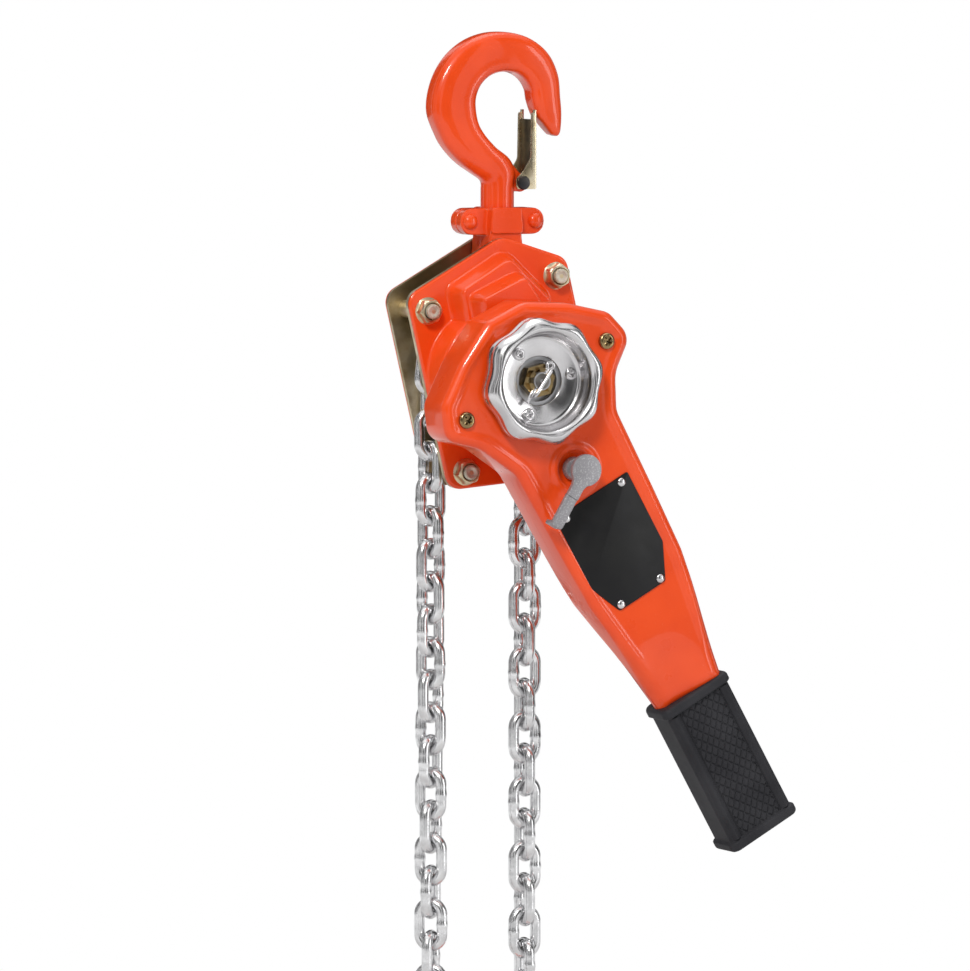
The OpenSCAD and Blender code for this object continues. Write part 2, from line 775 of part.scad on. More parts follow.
function gear_outline(teeth, shift) =
    let (rp = gear_module * teeth / 2, rb = rp * cos(pressure),
         ra = rp + tip_h, rr = rp - root_h,
         half = 90 / teeth - tooth_play / (2 * rp) * 180 / PI + involute(rb, rp),
         radii = [rr, max(rb, rr) + 0.01, rp - tip_h / 2, rp, rp + tip_h / 2, ra])
    [for (t = [0:teeth - 1])
        let (a0 = 90 + (t + shift) * 360 / teeth)
        each concat(
            [for (i = [0:5]) let (a = a0 - half + involute(rb, radii[i])) radii[i] * [cos(a), sin(a)]],
            [for (i = [5:-1:0]) let (a = a0 + half - involute(rb, radii[i])) radii[i] * [cos(a), sin(a)]])];

module gear(teeth, width, bore, shift = 0) {
    difference() {
        linear_extrude(width) polygon(gear_outline(teeth, shift));
        if (bore > 0) translate([0, 0, -1]) cylinder(r = bore, h = width + 2);
    }
}

gear_seat_r = 10;
sheave_end = load_gear_y + load_gear_w;
module load_sheave() {
    side_play = 0.3;
    color(steel) at_shaft() difference() {
        union() {
            facing(sheave_w / 2) cylinder(r = cheek_r, h = sheave_w);
            facing(plate_out + 1) cylinder(r = journal_r, h = 2 * plate_out + 2);
            facing(sheave_end + 1.4) cylinder(r = gear_seat_r, h = sheave_end + 1.4 - plate_out);
        }
        facing(60) cylinder(r = shaft_r + running_play, h = 120);
        // the groove for the standing links
        rotate([90, 0, 0])
            rotate_extrude()
                translate([groove_r, -wire_r - pocket_play])
                    square([40, wire_d + 2 * pocket_play]);
        // a pocket for each flat link
        for (k = [0:pockets - 1])
            rotate([0, -(phase + 2 * link_turn * k), 0])
                translate([flat_r - wire_r - pocket_play, -link_w / 2 - side_play, -pitch / 2 - wire_d - pocket_play])
                    cube([20, link_w + 2 * side_play, pitch + 2 * (wire_d + pocket_play)]);
        // snap ring groove
        facing(sheave_end + 1.1) tube(gear_seat_r + 1, gear_seat_r - 1, 1.05);
    }
}

module gear_snap_ring() {
    color(steel) at_shaft() facing(sheave_end + 1.08)
        difference() {
            tube(gear_seat_r + 1.8, gear_seat_r - 0.95, 1);
            translate([0, -gear_seat_r, 0]) cube([7, 8, 6], center = true);
        }
}

module load_gear() {
    color(steel) in_body() facing(sheave_end - 0.02) gear(wheel_teeth, load_gear_w - 0.04, gear_seat_r);
}

module sheave_bearings() {
    color(steel) at_shaft()
        for (s = [-1, 1])
            translate([0, s * plate_in, 0])
                rotate([-90 * s, 0, 0])
                    tube(bearing_r, journal_r + running_play, plate_t + 0.8);
}

// a disc gear and its pinion on one stub shaft; way is 1 above the drive shaft and -1 below it
module disc_gear(way) {
    translate([0, 0, way * centre_dist]) {
        facing(gear_end_y) gear(wheel_teeth, disc_gear_w, 0, 0.5);
        facing(sheave_end - 0.5) gear(pinion_teeth, load_gear_w - 1, 0);
        facing(gear_end_y + 5) cylinder(r = gear_pin_r, h = gear_end_y + 5 - plate_in - 0.3);
        facing(disc_gear_y + 1) cylinder(r = 6, h = disc_gear_y + 1 - sheave_end + 1);
    }
}

module upper_disc_gear() { color(steel) in_body() disc_gear(1); }
module lower_disc_gear() { color(steel) in_body() disc_gear(-1); }

module gear_bushes() {
    color(bronze) in_body() {
        for (p = gear_at) {
            facing(plate_out) translate(p) tube(bush_r, gear_pin_r + running_play, plate_t - 0.2);
            facing(boss_y + 5.5) translate(p) tube(bush_r, gear_pin_r + running_play, 5);
        }
        facing(boss_y + 5.5) tube(bush_r, shaft_tail_r + running_play, 5);
    }
}
shaft_tail_r = 4.5;

// ---------- drive shaft and brake ----------

thread_r = 7;
nut_y = wheel_back + 4;
shaft_end = nut_y - 9.8;
module drive_shaft() {
    color(steel) in_body() difference() {
        union() {
            facing(disc_gear_y - 0.5) cylinder(r = shaft_r, h = disc_gear_y - 0.5 - hub_y + hub_t);
            facing(gear_end_y) gear(pinion_teeth, disc_gear_w, 0, 0.5);
            facing(gear_end_y + 5) cylinder(r = shaft_tail_r, h = disc_gear_w + 8);
            facing(0) cylinder(r = thread_r, h = -nut_y - 0.5);
            facing(nut_y + 1) cylinder(r = nut_thread_r, h = nut_y + 1 - shaft_end);
        }
        // cross hole for the split pin
        translate([0, split_pin_y, 0])
            rotate([0, split_pin_turn, 0]) cylinder(r = split_pin_r + 0.05, h = 40, center = true);
    }
}
nut_well_r = 11.5;
nut_thread_r = 5;
split_pin_r = 1.3;
split_pin_y = nut_y - 7.6;
split_pin_turn = 35 + body_tilt;

module friction_hub() {
    color(steel) in_body() {
        facing(hub_y) tube(friction_r, shaft_r, hub_t);
        facing(hub_y - hub_t) tube(hub_r, shaft_r, hub_y - hub_t - member_y - 0.3);
    }
}

module friction_plates() {
    color("#5b4a3c") in_body()
        for (y = [plate1_y, plate2_y]) facing(y) tube(friction_r, hub_r + 0.3, friction_t);
}

function ratchet_outline() =
    [for (t = [0:ratchet_teeth - 1])
        let (a = pawl_angles[0] + pawl_reach + t * click)
        each [(ratchet_r - ratchet_h) * [cos(a), sin(a)],
              ratchet_r * [cos(a), sin(a)],
              (ratchet_r - ratchet_h / 2) * [cos(a + click / 2), sin(a + click / 2)]]];

module ratchet_disc() {
    color(steel) in_body() facing(ratchet_y)
        difference() {
            linear_extrude(ratchet_t) polygon(ratchet_outline());
            translate([0, 0, -1]) cylinder(r = hub_r + running_play, h = ratchet_t + 2);
        }
}

// a pawl for the pin at angle a from the shaft
function polar(r, a) = r * [cos(a), sin(a)];
function pawl_outline() =
    concat(
        [polar(ratchet_r - ratchet_h + 0.4, pawl_reach - 0.4),
         polar(ratchet_r + 2.5, pawl_reach - 0.6),
         polar(ratchet_r + 7, pawl_reach - 6)],
        [for (a = [110:-20:-130]) [pawl_pin_at, 0] + polar(pawl_boss_r, a)],
        [polar(ratchet_r + 2, pawl_reach - 22),
         polar(ratchet_r - 0.9, pawl_reach - 8)]);
pawl_boss_r = 5.5;
pawl_t = ratchet_t - 0.4;

module pawl(a) {
    in_body() facing(ratchet_y - 0.2) rotate([0, 0, a])
        difference() {
            linear_extrude(pawl_t) polygon(pawl_outline());
            translate([pawl_pin_at, 0, -1]) cylinder(r = pawl_pin_r + running_play, h = pawl_t + 2);
        }
}

module upper_pawl() { color(steel) pawl(pawl_angles[0]); }
module lower_pawl() { color(steel) pawl(pawl_angles[1]); }

pawl_pin_end = ratchet_y - ratchet_t - 1.6;
module pawl_pins() {
    color(steel) in_body()
        for (p = pawl_at) {
            facing(-plate_in) translate(p) cylinder(r = pawl_pin_r, h = -pawl_pin_end - plate_in);
            facing(-plate_out - 0.02) translate(p) cylinder(r = pawl_pin_r + 2, h = 1);
            facing(pawl_pin_end + 1) translate(p) cylinder(r = pawl_pin_r + 1.5, h = 1);
        }
}

module pawl_spring(p) {
    in_body() facing(-plate_out - 1.8) translate(p)
        coil(pawl_pin_r + 1.1, 0.5, 4, -ratchet_y - plate_out - 2.6);
}
module upper_pawl_spring() { color(steel) pawl_spring(pawl_at[0]); }
module lower_pawl_spring() { color(steel) pawl_spring(pawl_at[1]); }

// ---------- drive member and handwheel ----------

change_gear_r = 25;
change_gear_h = 4;
change_gear_t = 9;
change_teeth = 12;
module drive_member() {
    color(steel) in_body() difference() {
        union() {
            facing(member_y) cylinder(r = friction_r, h = 4);
            facing(member_y - 3) cylinder(r = member_r, h = member_y - 3 - nut_y - 1);
            facing(lever_mid + change_gear_t / 2)
                linear_extrude(change_gear_t)
                    polygon([for (t = [0:change_teeth - 1], e = [[-0.33, 1], [-0.24, 0], [0.24, 0], [0.33, 1]])
                        let (r = change_gear_r - change_gear_h * e[1])
                        r * [cos((t + e[0]) * 360 / change_teeth), sin((t + e[0]) * 360 / change_teeth)]]);
            facing(wheel_back + 7) cylinder(r = wheel_screw_at + 3, h = 6.9);
        }
        facing(0) cylinder(r = thread_r + running_play, h = 150);
        facing(nut_y + 0.1) cylinder(r = nut_well_r, h = 30);
        for (a = wheel_screw_angles)
            facing(wheel_back + 10) translate(polar(wheel_screw_at, a)) cylinder(r = 1.9, h = 20);
    }
}
wheel_screw_angles = [10 - body_tilt, 130 - body_tilt, 250 - body_tilt];

// a pressed wheel with a wavy rim and a dished middle
wheel_lobes = 8;
function wavy(r, depth, turn = 12) =
    [for (i = [0:127]) (r - depth / 2 + depth / 2 * cos(wheel_lobes * (360 * i / 128 - turn))) * [cos(360 * i / 128), sin(360 * i / 128)]];

wheel_sheet = 1.6;
module handwheel() {
    color(bright) at_shaft() difference() {
        union() {
            facing(wheel_back) linear_extrude(wheel_t - 3) polygon(wavy(wheel_r, wave));
            facing(wheel_back - wheel_t + 3) linear_extrude(1.8) polygon(wavy(wheel_r - 1, wave * 0.9));
            facing(wheel_back - wheel_t + 1.2) linear_extrude(1.2) polygon(wavy(wheel_r - 3, wave * 0.7));
        }
        // the dish, open to the front, and the hollow behind the rim
        facing(wheel_back - wheel_sheet) cylinder(r1 = dish_r - 2, r2 = dish_r, h = wheel_t);
        facing(wheel_back + 1)
            difference() {
                linear_extrude(wheel_t - 3) polygon(wavy(wheel_r - wheel_sheet, wave));
                cylinder(r = dish_r + wheel_sheet, h = 30);
            }
        facing(wheel_back + 1) cylinder(r = dish_hole_r, h = 30);
        for (a = wheel_screw_angles)
            facing(wheel_back + 1) rotate([0, 0, body_tilt]) translate(polar(wheel_screw_at, a)) cylinder(r = 1.9, h = 30);
    }
}

module handwheel_screws() {
    color(bright) in_body()
        for (a = wheel_screw_angles)
            facing(wheel_back - wheel_sheet - 0.02) translate(polar(wheel_screw_at, a)) pan_screw(3.4, 2, 1.9, 5);
}

nut_slots = 6;
module castle_nut() {
    color(zinc) in_body() facing(nut_y)
        difference() {
            union() {
                cylinder(d = 17 / cos(30), h = 6, $fn = 6);
                cylinder(r = 7.4, h = 9);
            }
            translate([0, 0, -1]) cylinder(r = nut_thread_r, h = 20);
            for (k = [0:nut_slots / 2 - 1])
                rotate([0, 0, 180 * k / nut_slots * 2 - split_pin_turn + 90])
                    translate([0, 0, 8.2]) cube([40, 3.2, 4.4], center = true);
        }
}

split_pin_l = 17;
module split_pin() {
    color(bright) in_body() translate([0, split_pin_y, 0]) rotate([0, split_pin_turn, 0]) {
        translate([0, 0, -split_pin_l]) cylinder(r = split_pin_r - 0.1, h = split_pin_l + 9);
        translate([0, 0, 9 + 1.4]) rotate([0, 90, 0]) rotate_extrude() translate([1.9, 0]) circle(r = 0.7);
    }
}

// ---------- lever ----------

// half outlines of the lever, from the top of its head down into the grip, as [across, up, radius]
lever_head = [
    [12, 42, 6], [36, 29, 10], [head_span - 5, 13, 10], [head_span + 1, -5, 10], [screw_at - 1.6, -19, 20]];
lever_neck = [
    [neck_w + 1.2, -40, 14], [neck_w - 0.2, -88, 30], [neck_w - 1.8, -127, 24],
    [grip_w - 2.8, -lever_l + grip_l, 0.5]];
tang_w = 16;
lever_tang = [[tang_w, -lever_l + grip_l, 0.4], [tang_w - 1, -lever_l + 8, 5]];

// a point of the head, turned with it
function turned(p) =
    [p.x * cos(head_turn) + p.y * sin(head_turn), p.y * cos(head_turn) - p.x * sin(head_turn), p.z];
lever_outline = rounded(concat(
    [for (p = lever_head) turned(p)], mirrored(concat(lever_neck, lever_tang)),
    [for (i = [len(lever_head) - 1:-1:0])
        let (p = lever_head[i]) turned([-p.x, p.y, p.z])]), 6);
screw_spots = [for (side = [-1, 1]) side * screw_at * [cos(head_turn), -sin(head_turn)]];

module lever_form(y, h, d) {
    facing(y) linear_extrude(h) offset(delta = -d) polygon(lever_outline);
}

// the space in front of the lever's back, which comes forward towards the grip
taper_start = 112;
taper_end = 160;
taper = 7.5;
module before_back(d) {
    rotate([90, 0, 90])
        translate([0, 0, -100])
            linear_extrude(200)
                polygon([[lever_front - 9, 90], [lever_back - d, 90], [lever_back - d, -taper_start],
                         [lever_back - taper - d, -taper_end], [lever_back - taper - d, -lever_l + grip_l],
                         [lever_back - d, -lever_l + grip_l], [lever_back - d, -lever_l - 9],
                         [lever_front - 9, -lever_l - 9]]);
}

// one pressed half; way is -1 in front of the split plane and 1 behind it
half_t = lever_t / 2 - 0.05;
module lever_half_shell(way, hole) {
    tang = lever_t / 2 - tang_t;
    difference() {
        intersection() {
            union() {
                lever_form(way < 0 ? lever_mid - 0.05 : lever_back - 3, half_t - 3, 0);
                lever_form(way < 0 ? lever_front + 3 : lever_back - 1.2, 1.8, 1);
                lever_form(way < 0 ? lever_front + 1.2 : lever_back, 1.2, 2.6);
            }
            before_back(0);
        }
        intersection() {
            lever_form(way < 0 ? lever_mid + 1 : lever_back - shell_t, half_t - shell_t + 1, shell_t);
            before_back(shell_t);
        }
        facing(0) cylinder(r = hole, h = 200);
        // the grip's tang is thinner than the neck
        translate([-40, way < 0 ? lever_front - 1 : lever_back - tang, -lever_l - 5])
            cube([80, tang + 1, grip_l + 5 + 0.01]);
        for (p = screw_spots) facing(0) translate(p) cylinder(r = lever_screw_r, h = 100);
        if (way < 0)
            facing(0) translate(selector_spot) cylinder(r = selector_r + running_play, h = 100);
        if (way < 0)
            for (p = label_rivet_at) facing(0) translate(p) cylinder(r = 1.2, h = 100);
    }
    // screw posts and the tang's face
    for (p = screw_spots)
        facing(way < 0 ? lever_mid - 0.05 : lever_back - 1) translate(p)
            tube(lever_screw_r + 2.2, lever_screw_r, half_t - 1);
    facing(way < 0 ? lever_mid - tang_t + 1.8 : lever_mid + tang_t)
        linear_extrude(1.8)
            polygon([[-tang_w + 1, -lever_l + grip_l + 6], [tang_w - 1, -lever_l + grip_l + 6],
                     [tang_w - 2, -lever_l + 12], [-tang_w + 2, -lever_l + 12]]);
}
tang_t = 7.5;
lever_screw_r = 2.4;
selector_r = 4;
selector_spot = -selector_at * [sin(selector_off), cos(selector_off)];
front_hole_r = 23;
bush_out_r = 16;

module lever_front_shell() {
    color(paint) in_lever() {
        lever_half_shell(-1, front_hole_r);
        // raised ring round the selector
        facing(lever_front + 0.5) translate(selector_spot) tube(10.5, selector_r + running_play, 3.5);
    }
}
module lever_rear_shell() { color(paint) in_lever() lever_half_shell(1, bush_out_r); }

module lever_bush() {
    color(bronze) in_lever() facing(lever_back + 0.5) {
        tube(bush_out_r, member_r + running_play, 5);
        translate([0, 0, shell_t + 0.55]) tube(bush_out_r + 3, member_r + running_play, 2);
    }
}

module lever_screws() {
    color(zinc) in_lever()
        for (p = screw_spots)
            facing(lever_front - 0.02) translate(p) pan_screw(4.6, 2.4, lever_screw_r, lever_t - 2);
}

grip_top = -lever_l + grip_l - 0.3;
collar_h = 6;

// a length of the grip between two heights, its long edges rounded, drawn in by d
module grip_block(top, foot, d) {
    translate([0, lever_mid, foot])
        linear_extrude(top - foot)
            polygon(rounded([[grip_w - d, grip_t / 2 - d, 6], [-grip_w + d, grip_t / 2 - d, 6],
                             [-grip_w + d, -grip_t / 2 + d, 6], [grip_w - d, -grip_t / 2 + d, 6]], 4));
}

module grip() {
    color(rubber) in_lever() difference() {
        union() {
            grip_block(grip_top - 1, -lever_l + 1, 2);
            grip_block(grip_top, grip_top - collar_h, 0);
            grip_block(-lever_l + collar_h + 1, -lever_l, 0);
        }
        translate([-tang_w - 0.2, lever_mid - tang_t - 0.2, -lever_l + 7.8])
            cube([2 * tang_w + 0.4, 2 * tang_t + 0.4, grip_l]);
    }
}

// label plate, bare, with four rivets
label_x = -2.2;
label_top = -72;
label_foot = -136.8;
label_w = 25.3;
label_t = 0.8;
label_rivet_at = [
    for (side = [-1, 1], spot = [[19.3, label_top - 3.2], [13.8, label_foot + 2.9]])
        [label_x + side * spot.x, spot.y]];
module label_plate() {
    color(black) in_lever() facing(lever_front - 0.05)
        difference() {
            linear_extrude(label_t)
                translate([label_x, 0])
                    polygon(rounded(mirrored([
                        [label_w, label_top, 1], [label_w, label_foot + 20, 2], [16, label_foot, 2]]), 3));
            for (p = label_rivet_at) translate(p) cylinder(r = 1.2, h = 10, center = true);
        }
}
module label_rivets() {
    color(bright) in_lever()
        for (p = label_rivet_at) facing(lever_front - 0.05 - label_t) translate(p) {
            rotate_extrude() intersection() {
                translate([0, -1.2]) circle(r = 2.7);
                square([3, 3]);
            }
            translate([0, 0, -4]) cylinder(r = 1.2, h = 4.5);
        }
}

// ---------- selector ----------

cap_r = 8.8;
arm_w = 7.2;
arm_step = 17;
selector_top = lever_front - selector_h;

module at_selector() {
    in_lever() rotate([0, selector_off, 0]) translate([0, 0, -selector_at]) children();
}

module selector_knob() {
    color(grey) at_selector() rotate([0, selector_angle - selector_off, 0]) {
        facing(lever_mid + 4) cylinder(r = selector_r, h = lever_mid + 4 - selector_top);
        facing(selector_top + 3) cylinder(r = cap_r, h = 3);
        facing(selector_top + 3) translate([-arm_w / 2, -arm_step]) cube([arm_w, arm_step, 3]);
        facing(selector_top + 4) translate([-arm_w / 2, -selector_l]) cube([arm_w, selector_l - arm_step + 1, 3]);
        // the finger tab, turned in towards the lever
        facing(selector_top + 10) translate([-arm_w / 2, -selector_l]) cube([arm_w, 2.4, 8]);
        facing(lever_front - 3.5) cylinder(r = selector_r + 2.5, h = 2);
    }
}

// two-nosed pawl on the selector's shaft; it stops just short of the change gear's teeth
nose_r = selector_at - change_gear_r - 0.6;
module change_pawl() {
    color(steel) at_selector()
        facing(lever_mid + 3.5)
            difference() {
                union() {
                    cylinder(r = selector_r + 3.5, h = 7);
                    linear_extrude(7)
                        polygon([polar(nose_r, 72), polar(nose_r, 108), polar(6, 170), polar(6, 10)]);
                }
                translate([0, 0, -1]) cylinder(r = selector_r, h = 9);
            }
}

detent_drop = 16;
module detent_plunger() {
    color(steel) at_selector() translate([0, lever_mid, -detent_drop]) {
        cylinder(r = 2, h = 6);
        translate([0, 0, 6]) sphere(r = 2);
        cylinder(r = 3, h = 1.5);
    }
}
module detent_spring() {
    color(steel) at_selector() translate([0, lever_mid, -detent_drop - 9.6]) coil(2.4, 0.4, 5, 9);
}

top_hook();
top_latch();
top_latch_pin();
top_latch_spring();
top_yoke_front();
top_yoke_rear();
top_yoke_rivets();
yoke_pin();
front_plate();
rear_plate();
stay_bolts();
front_nuts();
rear_nuts();
chain_stripper();
brake_cover();
gear_cover();
sheave_bearings();
gear_bushes();
load_sheave();
load_gear();
gear_snap_ring();
upper_disc_gear();
lower_disc_gear();
drive_shaft();
friction_hub();
castle_nut();
split_pin();
ratchet_disc();
friction_plates();
upper_pawl();
lower_pawl();
pawl_pins();
upper_pawl_spring();
lower_pawl_spring();
drive_member();
handwheel();
handwheel_screws();
lever_front_shell();
lever_rear_shell();
lever_screws();
lever_bush();
grip();
label_plate();
label_rivets();
detent_plunger();
detent_spring();
selector_knob();
change_pawl();
chain_on_sheave();
load_chain();
free_chain();
chain_end_ring();
bottom_yoke_front();
bottom_yoke_rear();
bottom_yoke_pins();
bottom_hook();
bottom_latch();
bottom_latch_pin();
bottom_latch_spring();
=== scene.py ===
import json
from math import acos, asin, atan2, copysign, cos, exp, log, pi, radians, sin, sqrt, tan

import bmesh
import bpy
import numpy as np
from mathutils import Matrix, Vector


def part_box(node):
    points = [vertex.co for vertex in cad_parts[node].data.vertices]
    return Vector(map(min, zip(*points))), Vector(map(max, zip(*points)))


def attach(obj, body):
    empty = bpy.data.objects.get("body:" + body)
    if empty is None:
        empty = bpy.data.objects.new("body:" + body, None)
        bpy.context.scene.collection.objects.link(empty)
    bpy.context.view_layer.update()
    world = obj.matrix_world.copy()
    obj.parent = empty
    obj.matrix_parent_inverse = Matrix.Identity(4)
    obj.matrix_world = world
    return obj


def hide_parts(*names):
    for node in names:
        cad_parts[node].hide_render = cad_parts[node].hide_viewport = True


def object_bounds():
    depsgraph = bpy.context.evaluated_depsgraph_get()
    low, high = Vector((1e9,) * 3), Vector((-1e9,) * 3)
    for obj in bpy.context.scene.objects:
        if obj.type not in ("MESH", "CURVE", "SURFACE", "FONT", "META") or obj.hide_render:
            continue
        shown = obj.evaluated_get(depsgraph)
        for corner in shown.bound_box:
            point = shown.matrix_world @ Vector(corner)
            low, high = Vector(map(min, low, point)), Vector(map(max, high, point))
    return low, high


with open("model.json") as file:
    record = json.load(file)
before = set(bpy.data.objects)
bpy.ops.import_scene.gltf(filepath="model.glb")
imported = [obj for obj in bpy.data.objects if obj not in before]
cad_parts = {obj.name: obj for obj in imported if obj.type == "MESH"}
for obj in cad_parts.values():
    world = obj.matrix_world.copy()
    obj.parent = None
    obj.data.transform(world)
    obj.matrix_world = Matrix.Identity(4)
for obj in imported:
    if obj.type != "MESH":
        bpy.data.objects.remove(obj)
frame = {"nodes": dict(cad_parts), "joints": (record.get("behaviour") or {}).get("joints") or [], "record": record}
cadBounds = [list(corner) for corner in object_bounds()]
print("frame loaded:", len(frame["nodes"]), "nodes")

nodes = frame["nodes"]
jointAt = {joint["name"]: Vector(joint["pos_m"]) for joint in frame["joints"]}
shaft = jointAt["lever_swing"]
bodyUp = (jointAt["upper_gear_spin"] - shaft).normalized()
selectorOff = 3.4  # degrees from the lever's middle line to the selector's pivot
toSelector = (shaft - jointAt["selector_turn"]).normalized()
leverUp = Matrix.Rotation(radians(-selectorOff), 3, "Y") @ toSelector
bowlAt = {mount["name"]: Vector(mount["pos_m"]) for mount in frame["record"]["mounts"]}


# Every piece is drawn in millimetres and then set on its place
def placeAt(origin, up=Vector((0, 0, 1)), flip=False):
    across = Vector((up.z, 0, -up.x))
    turn = Matrix((across, Vector((0, 1, 0)), up)).transposed().to_4x4()
    size = Matrix.Diagonal((0.001, 0.001, -0.001 if flip else 0.001, 1))
    return Matrix.Translation(origin) @ turn @ size


atBody = placeAt(shaft, bodyUp)
atLever = placeAt(shaft, leverUp)
atShaft = placeAt(shaft)
atTopHook = placeAt(bowlAt["top_hook_bowl"])
atBottomHook = placeAt(bowlAt["bottom_hook_bowl"], flip=True)


def level(node, side):  # front (0) or back (1) of a node along Y, in millimetres
    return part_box(node)[side].y * 1000


def turns(count):  # evenly spaced angles round a full turn
    return [2 * pi * i / count for i in range(count)]


def added(name, data):  # a new object in the scene
    made = bpy.data.objects.new(name, data)
    bpy.context.scene.collection.objects.link(made)
    return made


# Shapes are pairs of points and faces
def loft(rings, capStart=True, capEnd=True):
    points = [tuple(p) for ring in rings for p in ring]
    count, last = len(rings[0]), len(rings) - 1
    faces = [(k * count + i, k * count + (i + 1) % count,
              (k + 1) * count + (i + 1) % count, (k + 1) * count + i)
             for k in range(last) for i in range(count)]
    if capStart:
        faces.append(tuple(range(count - 1, -1, -1)))
    if capEnd:
        faces.append(tuple(range(last * count, last * count + count)))
    return points, faces


def joined(*shapes):
    points, faces = [], []
    for somePoints, someFaces in shapes:
        start = len(points)
        points += list(somePoints)
        faces += [tuple(i + start for i in face) for face in someFaces]
    return points, faces


def moved(shape, matrix):
    return [tuple(matrix @ Vector(p)) for p in shape[0]], shape[1]


def rounded(corners, steps=8):  # corners are x, z, radius
    outline = []
    for i, corner in enumerate(corners):
        p = Vector(corner[:2])
        a, b = Vector(corners[i - 1][:2]), Vector(corners[(i + 1) % len(corners)][:2])
        u, v, r = (a - p).normalized(), (b - p).normalized(), corner[2]
        half = acos(max(-1, min(1, u.dot(v)))) / 2
        centre = p + (u + v).normalized() * r / sin(half)
        start, end = p + u * r / tan(half) - centre, p + v * r / tan(half) - centre
        first = atan2(start.y, start.x)
        turn = atan2(start.x * end.y - start.y * end.x, start.dot(end))
        for k in range(steps + 1):
            angle = first + turn * k / steps
            outline.append((centre.x + r * cos(angle), centre.y + r * sin(angle)))
    return outline


def evenly(outline, count, closed=True):  # the same line with evenly spaced points
    line = np.array(list(outline) + ([outline[0]] if closed else []))
    run = np.concatenate([[0], np.cumsum(np.linalg.norm(np.diff(line, axis=0), axis=1))])
    at = np.linspace(0, run[-1], count + 1)[:count] if closed else np.linspace(0, run[-1], count)
    return [tuple(np.interp(s, run, line[:, k]) for k in range(line.shape[1])) for s in at]


def insetLine(outline, depth):  # drawn in by depth, its kinks eased
    line = np.array(outline)
    nearby = np.roll(line, -1, axis=0)
    along = nearby - np.roll(line, 1, axis=0)
    along /= np.linalg.norm(along, axis=1)[:, None]
    inward = np.stack([-along[:, 1], along[:, 0]], axis=1)
    if np.sum(line[:, 0] * nearby[:, 1] - nearby[:, 0] * line[:, 1]) < 0:
        inward = -inward
    line = line + inward * depth
    for _ in range(int(depth * 2)):
        line = line * 0.5 + (np.roll(line, 1, axis=0) + np.roll(line, -1, axis=0)) * 0.25
    return [tuple(p) for p in line]


def prism(outline, front, back):  # outline in X and Z, between two levels of Y
    return loft([[(x, back, z) for x, z in outline], [(x, front, z) for x, z in outline]])


def slab(outline, front, back, ease=0.6):  # a prism with eased edges
    rings = [(ease, back), (ease * 0.3, back - ease * 0.3), (0, back - ease),
             (0, front + ease), (ease * 0.3, front + ease * 0.3), (ease, front)]
    return loft([[(x, y, z) for x, z in insetLine(outline, d)] for d, y in rings])


def lathe(profile, sides=64, centre=(0, 0)):  # profile of radius and Y
    return loft([[(centre[0] + radius * cos(a), y, centre[1] + radius * sin(a))
                  for a in turns(sides)] for radius, y in profile])


def tubeAlong(path, radius):  # a round wire along an open path
    rings = []
    for i, p in enumerate(path):
        a, b = path[max(i - 1, 0)], path[min(i + 1, len(path) - 1)]
        along = (Vector(b) - Vector(a)).normalized()
        side = along.cross(Vector((0, 1, 0))).normalized()
        other = side.cross(along)
        rings.append([tuple(Vector(p) + radius * (side * cos(a) + other * sin(a)))
                      for a in turns(12)])
    return loft(rings)


def splined(stations, steps):  # a smooth run of stations through the given ones
    rows = np.array(stations, dtype=float)
    padded = np.vstack([2 * rows[0] - rows[1], rows, 2 * rows[-1] - rows[-2]])
    out = []
    for i in range(len(rows) - 1):
        a, b, c, d = padded[i:i + 4]
        for k in range(steps):
            t = k / steps
            out.append(0.5 * (2 * b + (c - a) * t + (2 * a - 5 * b + 4 * c - d) * t * t
                              + (3 * b - a - 3 * c + d) * t ** 3))
    return out + [rows[-1]]


def meshFrom(shape):
    mesh = bpy.data.meshes.new("shape")
    mesh.from_pydata(shape[0], [], shape[1])
    work = bmesh.new()
    work.from_mesh(mesh)
    bmesh.ops.remove_doubles(work, verts=work.verts, dist=1e-4)
    bmesh.ops.recalc_face_normals(work, faces=work.faces)
    work.to_mesh(mesh)
    work.free()
    return mesh


def piece(name, shape, place, body, slotName, replaces=(), crease=40, soft=None, finish=None):
    # soft is (voxel, passes): the shapes are fused and their edges eased, as in a forging or pressing
    mesh = meshFrom(shape)
    if soft:
        work = added("work", mesh)
        fuse = work.modifiers.new("fuse", "REMESH")
        fuse.mode, fuse.voxel_size = "VOXEL", soft[0]
        ease = work.modifiers.new("ease", "SMOOTH")
        ease.factor, ease.iterations = 0.5, soft[1]
        mesh = bpy.data.meshes.new_from_object(work.evaluated_get(bpy.context.evaluated_depsgraph_get()))
        bpy.data.objects.remove(work)
    mesh.transform(place)
    if place.determinant() < 0:
        mesh.flip_normals()
    mesh.name = name
    mesh.materials.clear()
    mesh.materials.append(finishes[finish or slotName])
    made = added(name, mesh)
    mesh.shade_smooth()
    if not soft:
        mesh.set_sharp_from_angle(angle=radians(crease))
    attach(made, body)
    if replaces:
        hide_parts(*replaces)
    return made


def nodeShape(name, place):  # a CAD node's shape, back in a place's millimetres
    back = place.inverted()
    mesh = nodes[name].data
    return [tuple(back @ v.co) for v in mesh.vertices], [tuple(p.vertices) for p in mesh.polygons]


# Finishes are node materials over object coordinates
class Wire:  # one socket, so that sums can be written as sums
    def __init__(self, net, socket):
        self.net, self.socket = net, socket

    def maths(self, kind, first, second):
        return self.net.add("ShaderNodeMath", {"operation": kind}, {0: first, 1: second})

    def __add__(self, other): return self.maths("ADD", self, other)
    def __radd__(self, other): return self.maths("ADD", other, self)
    def __sub__(self, other): return self.maths("SUBTRACT", self, other)
    def __rsub__(self, other): return self.maths("SUBTRACT", other, self)
    def __mul__(self, other): return self.maths("MULTIPLY", self, other)
    def __rmul__(self, other): return self.maths("MULTIPLY", other, self)


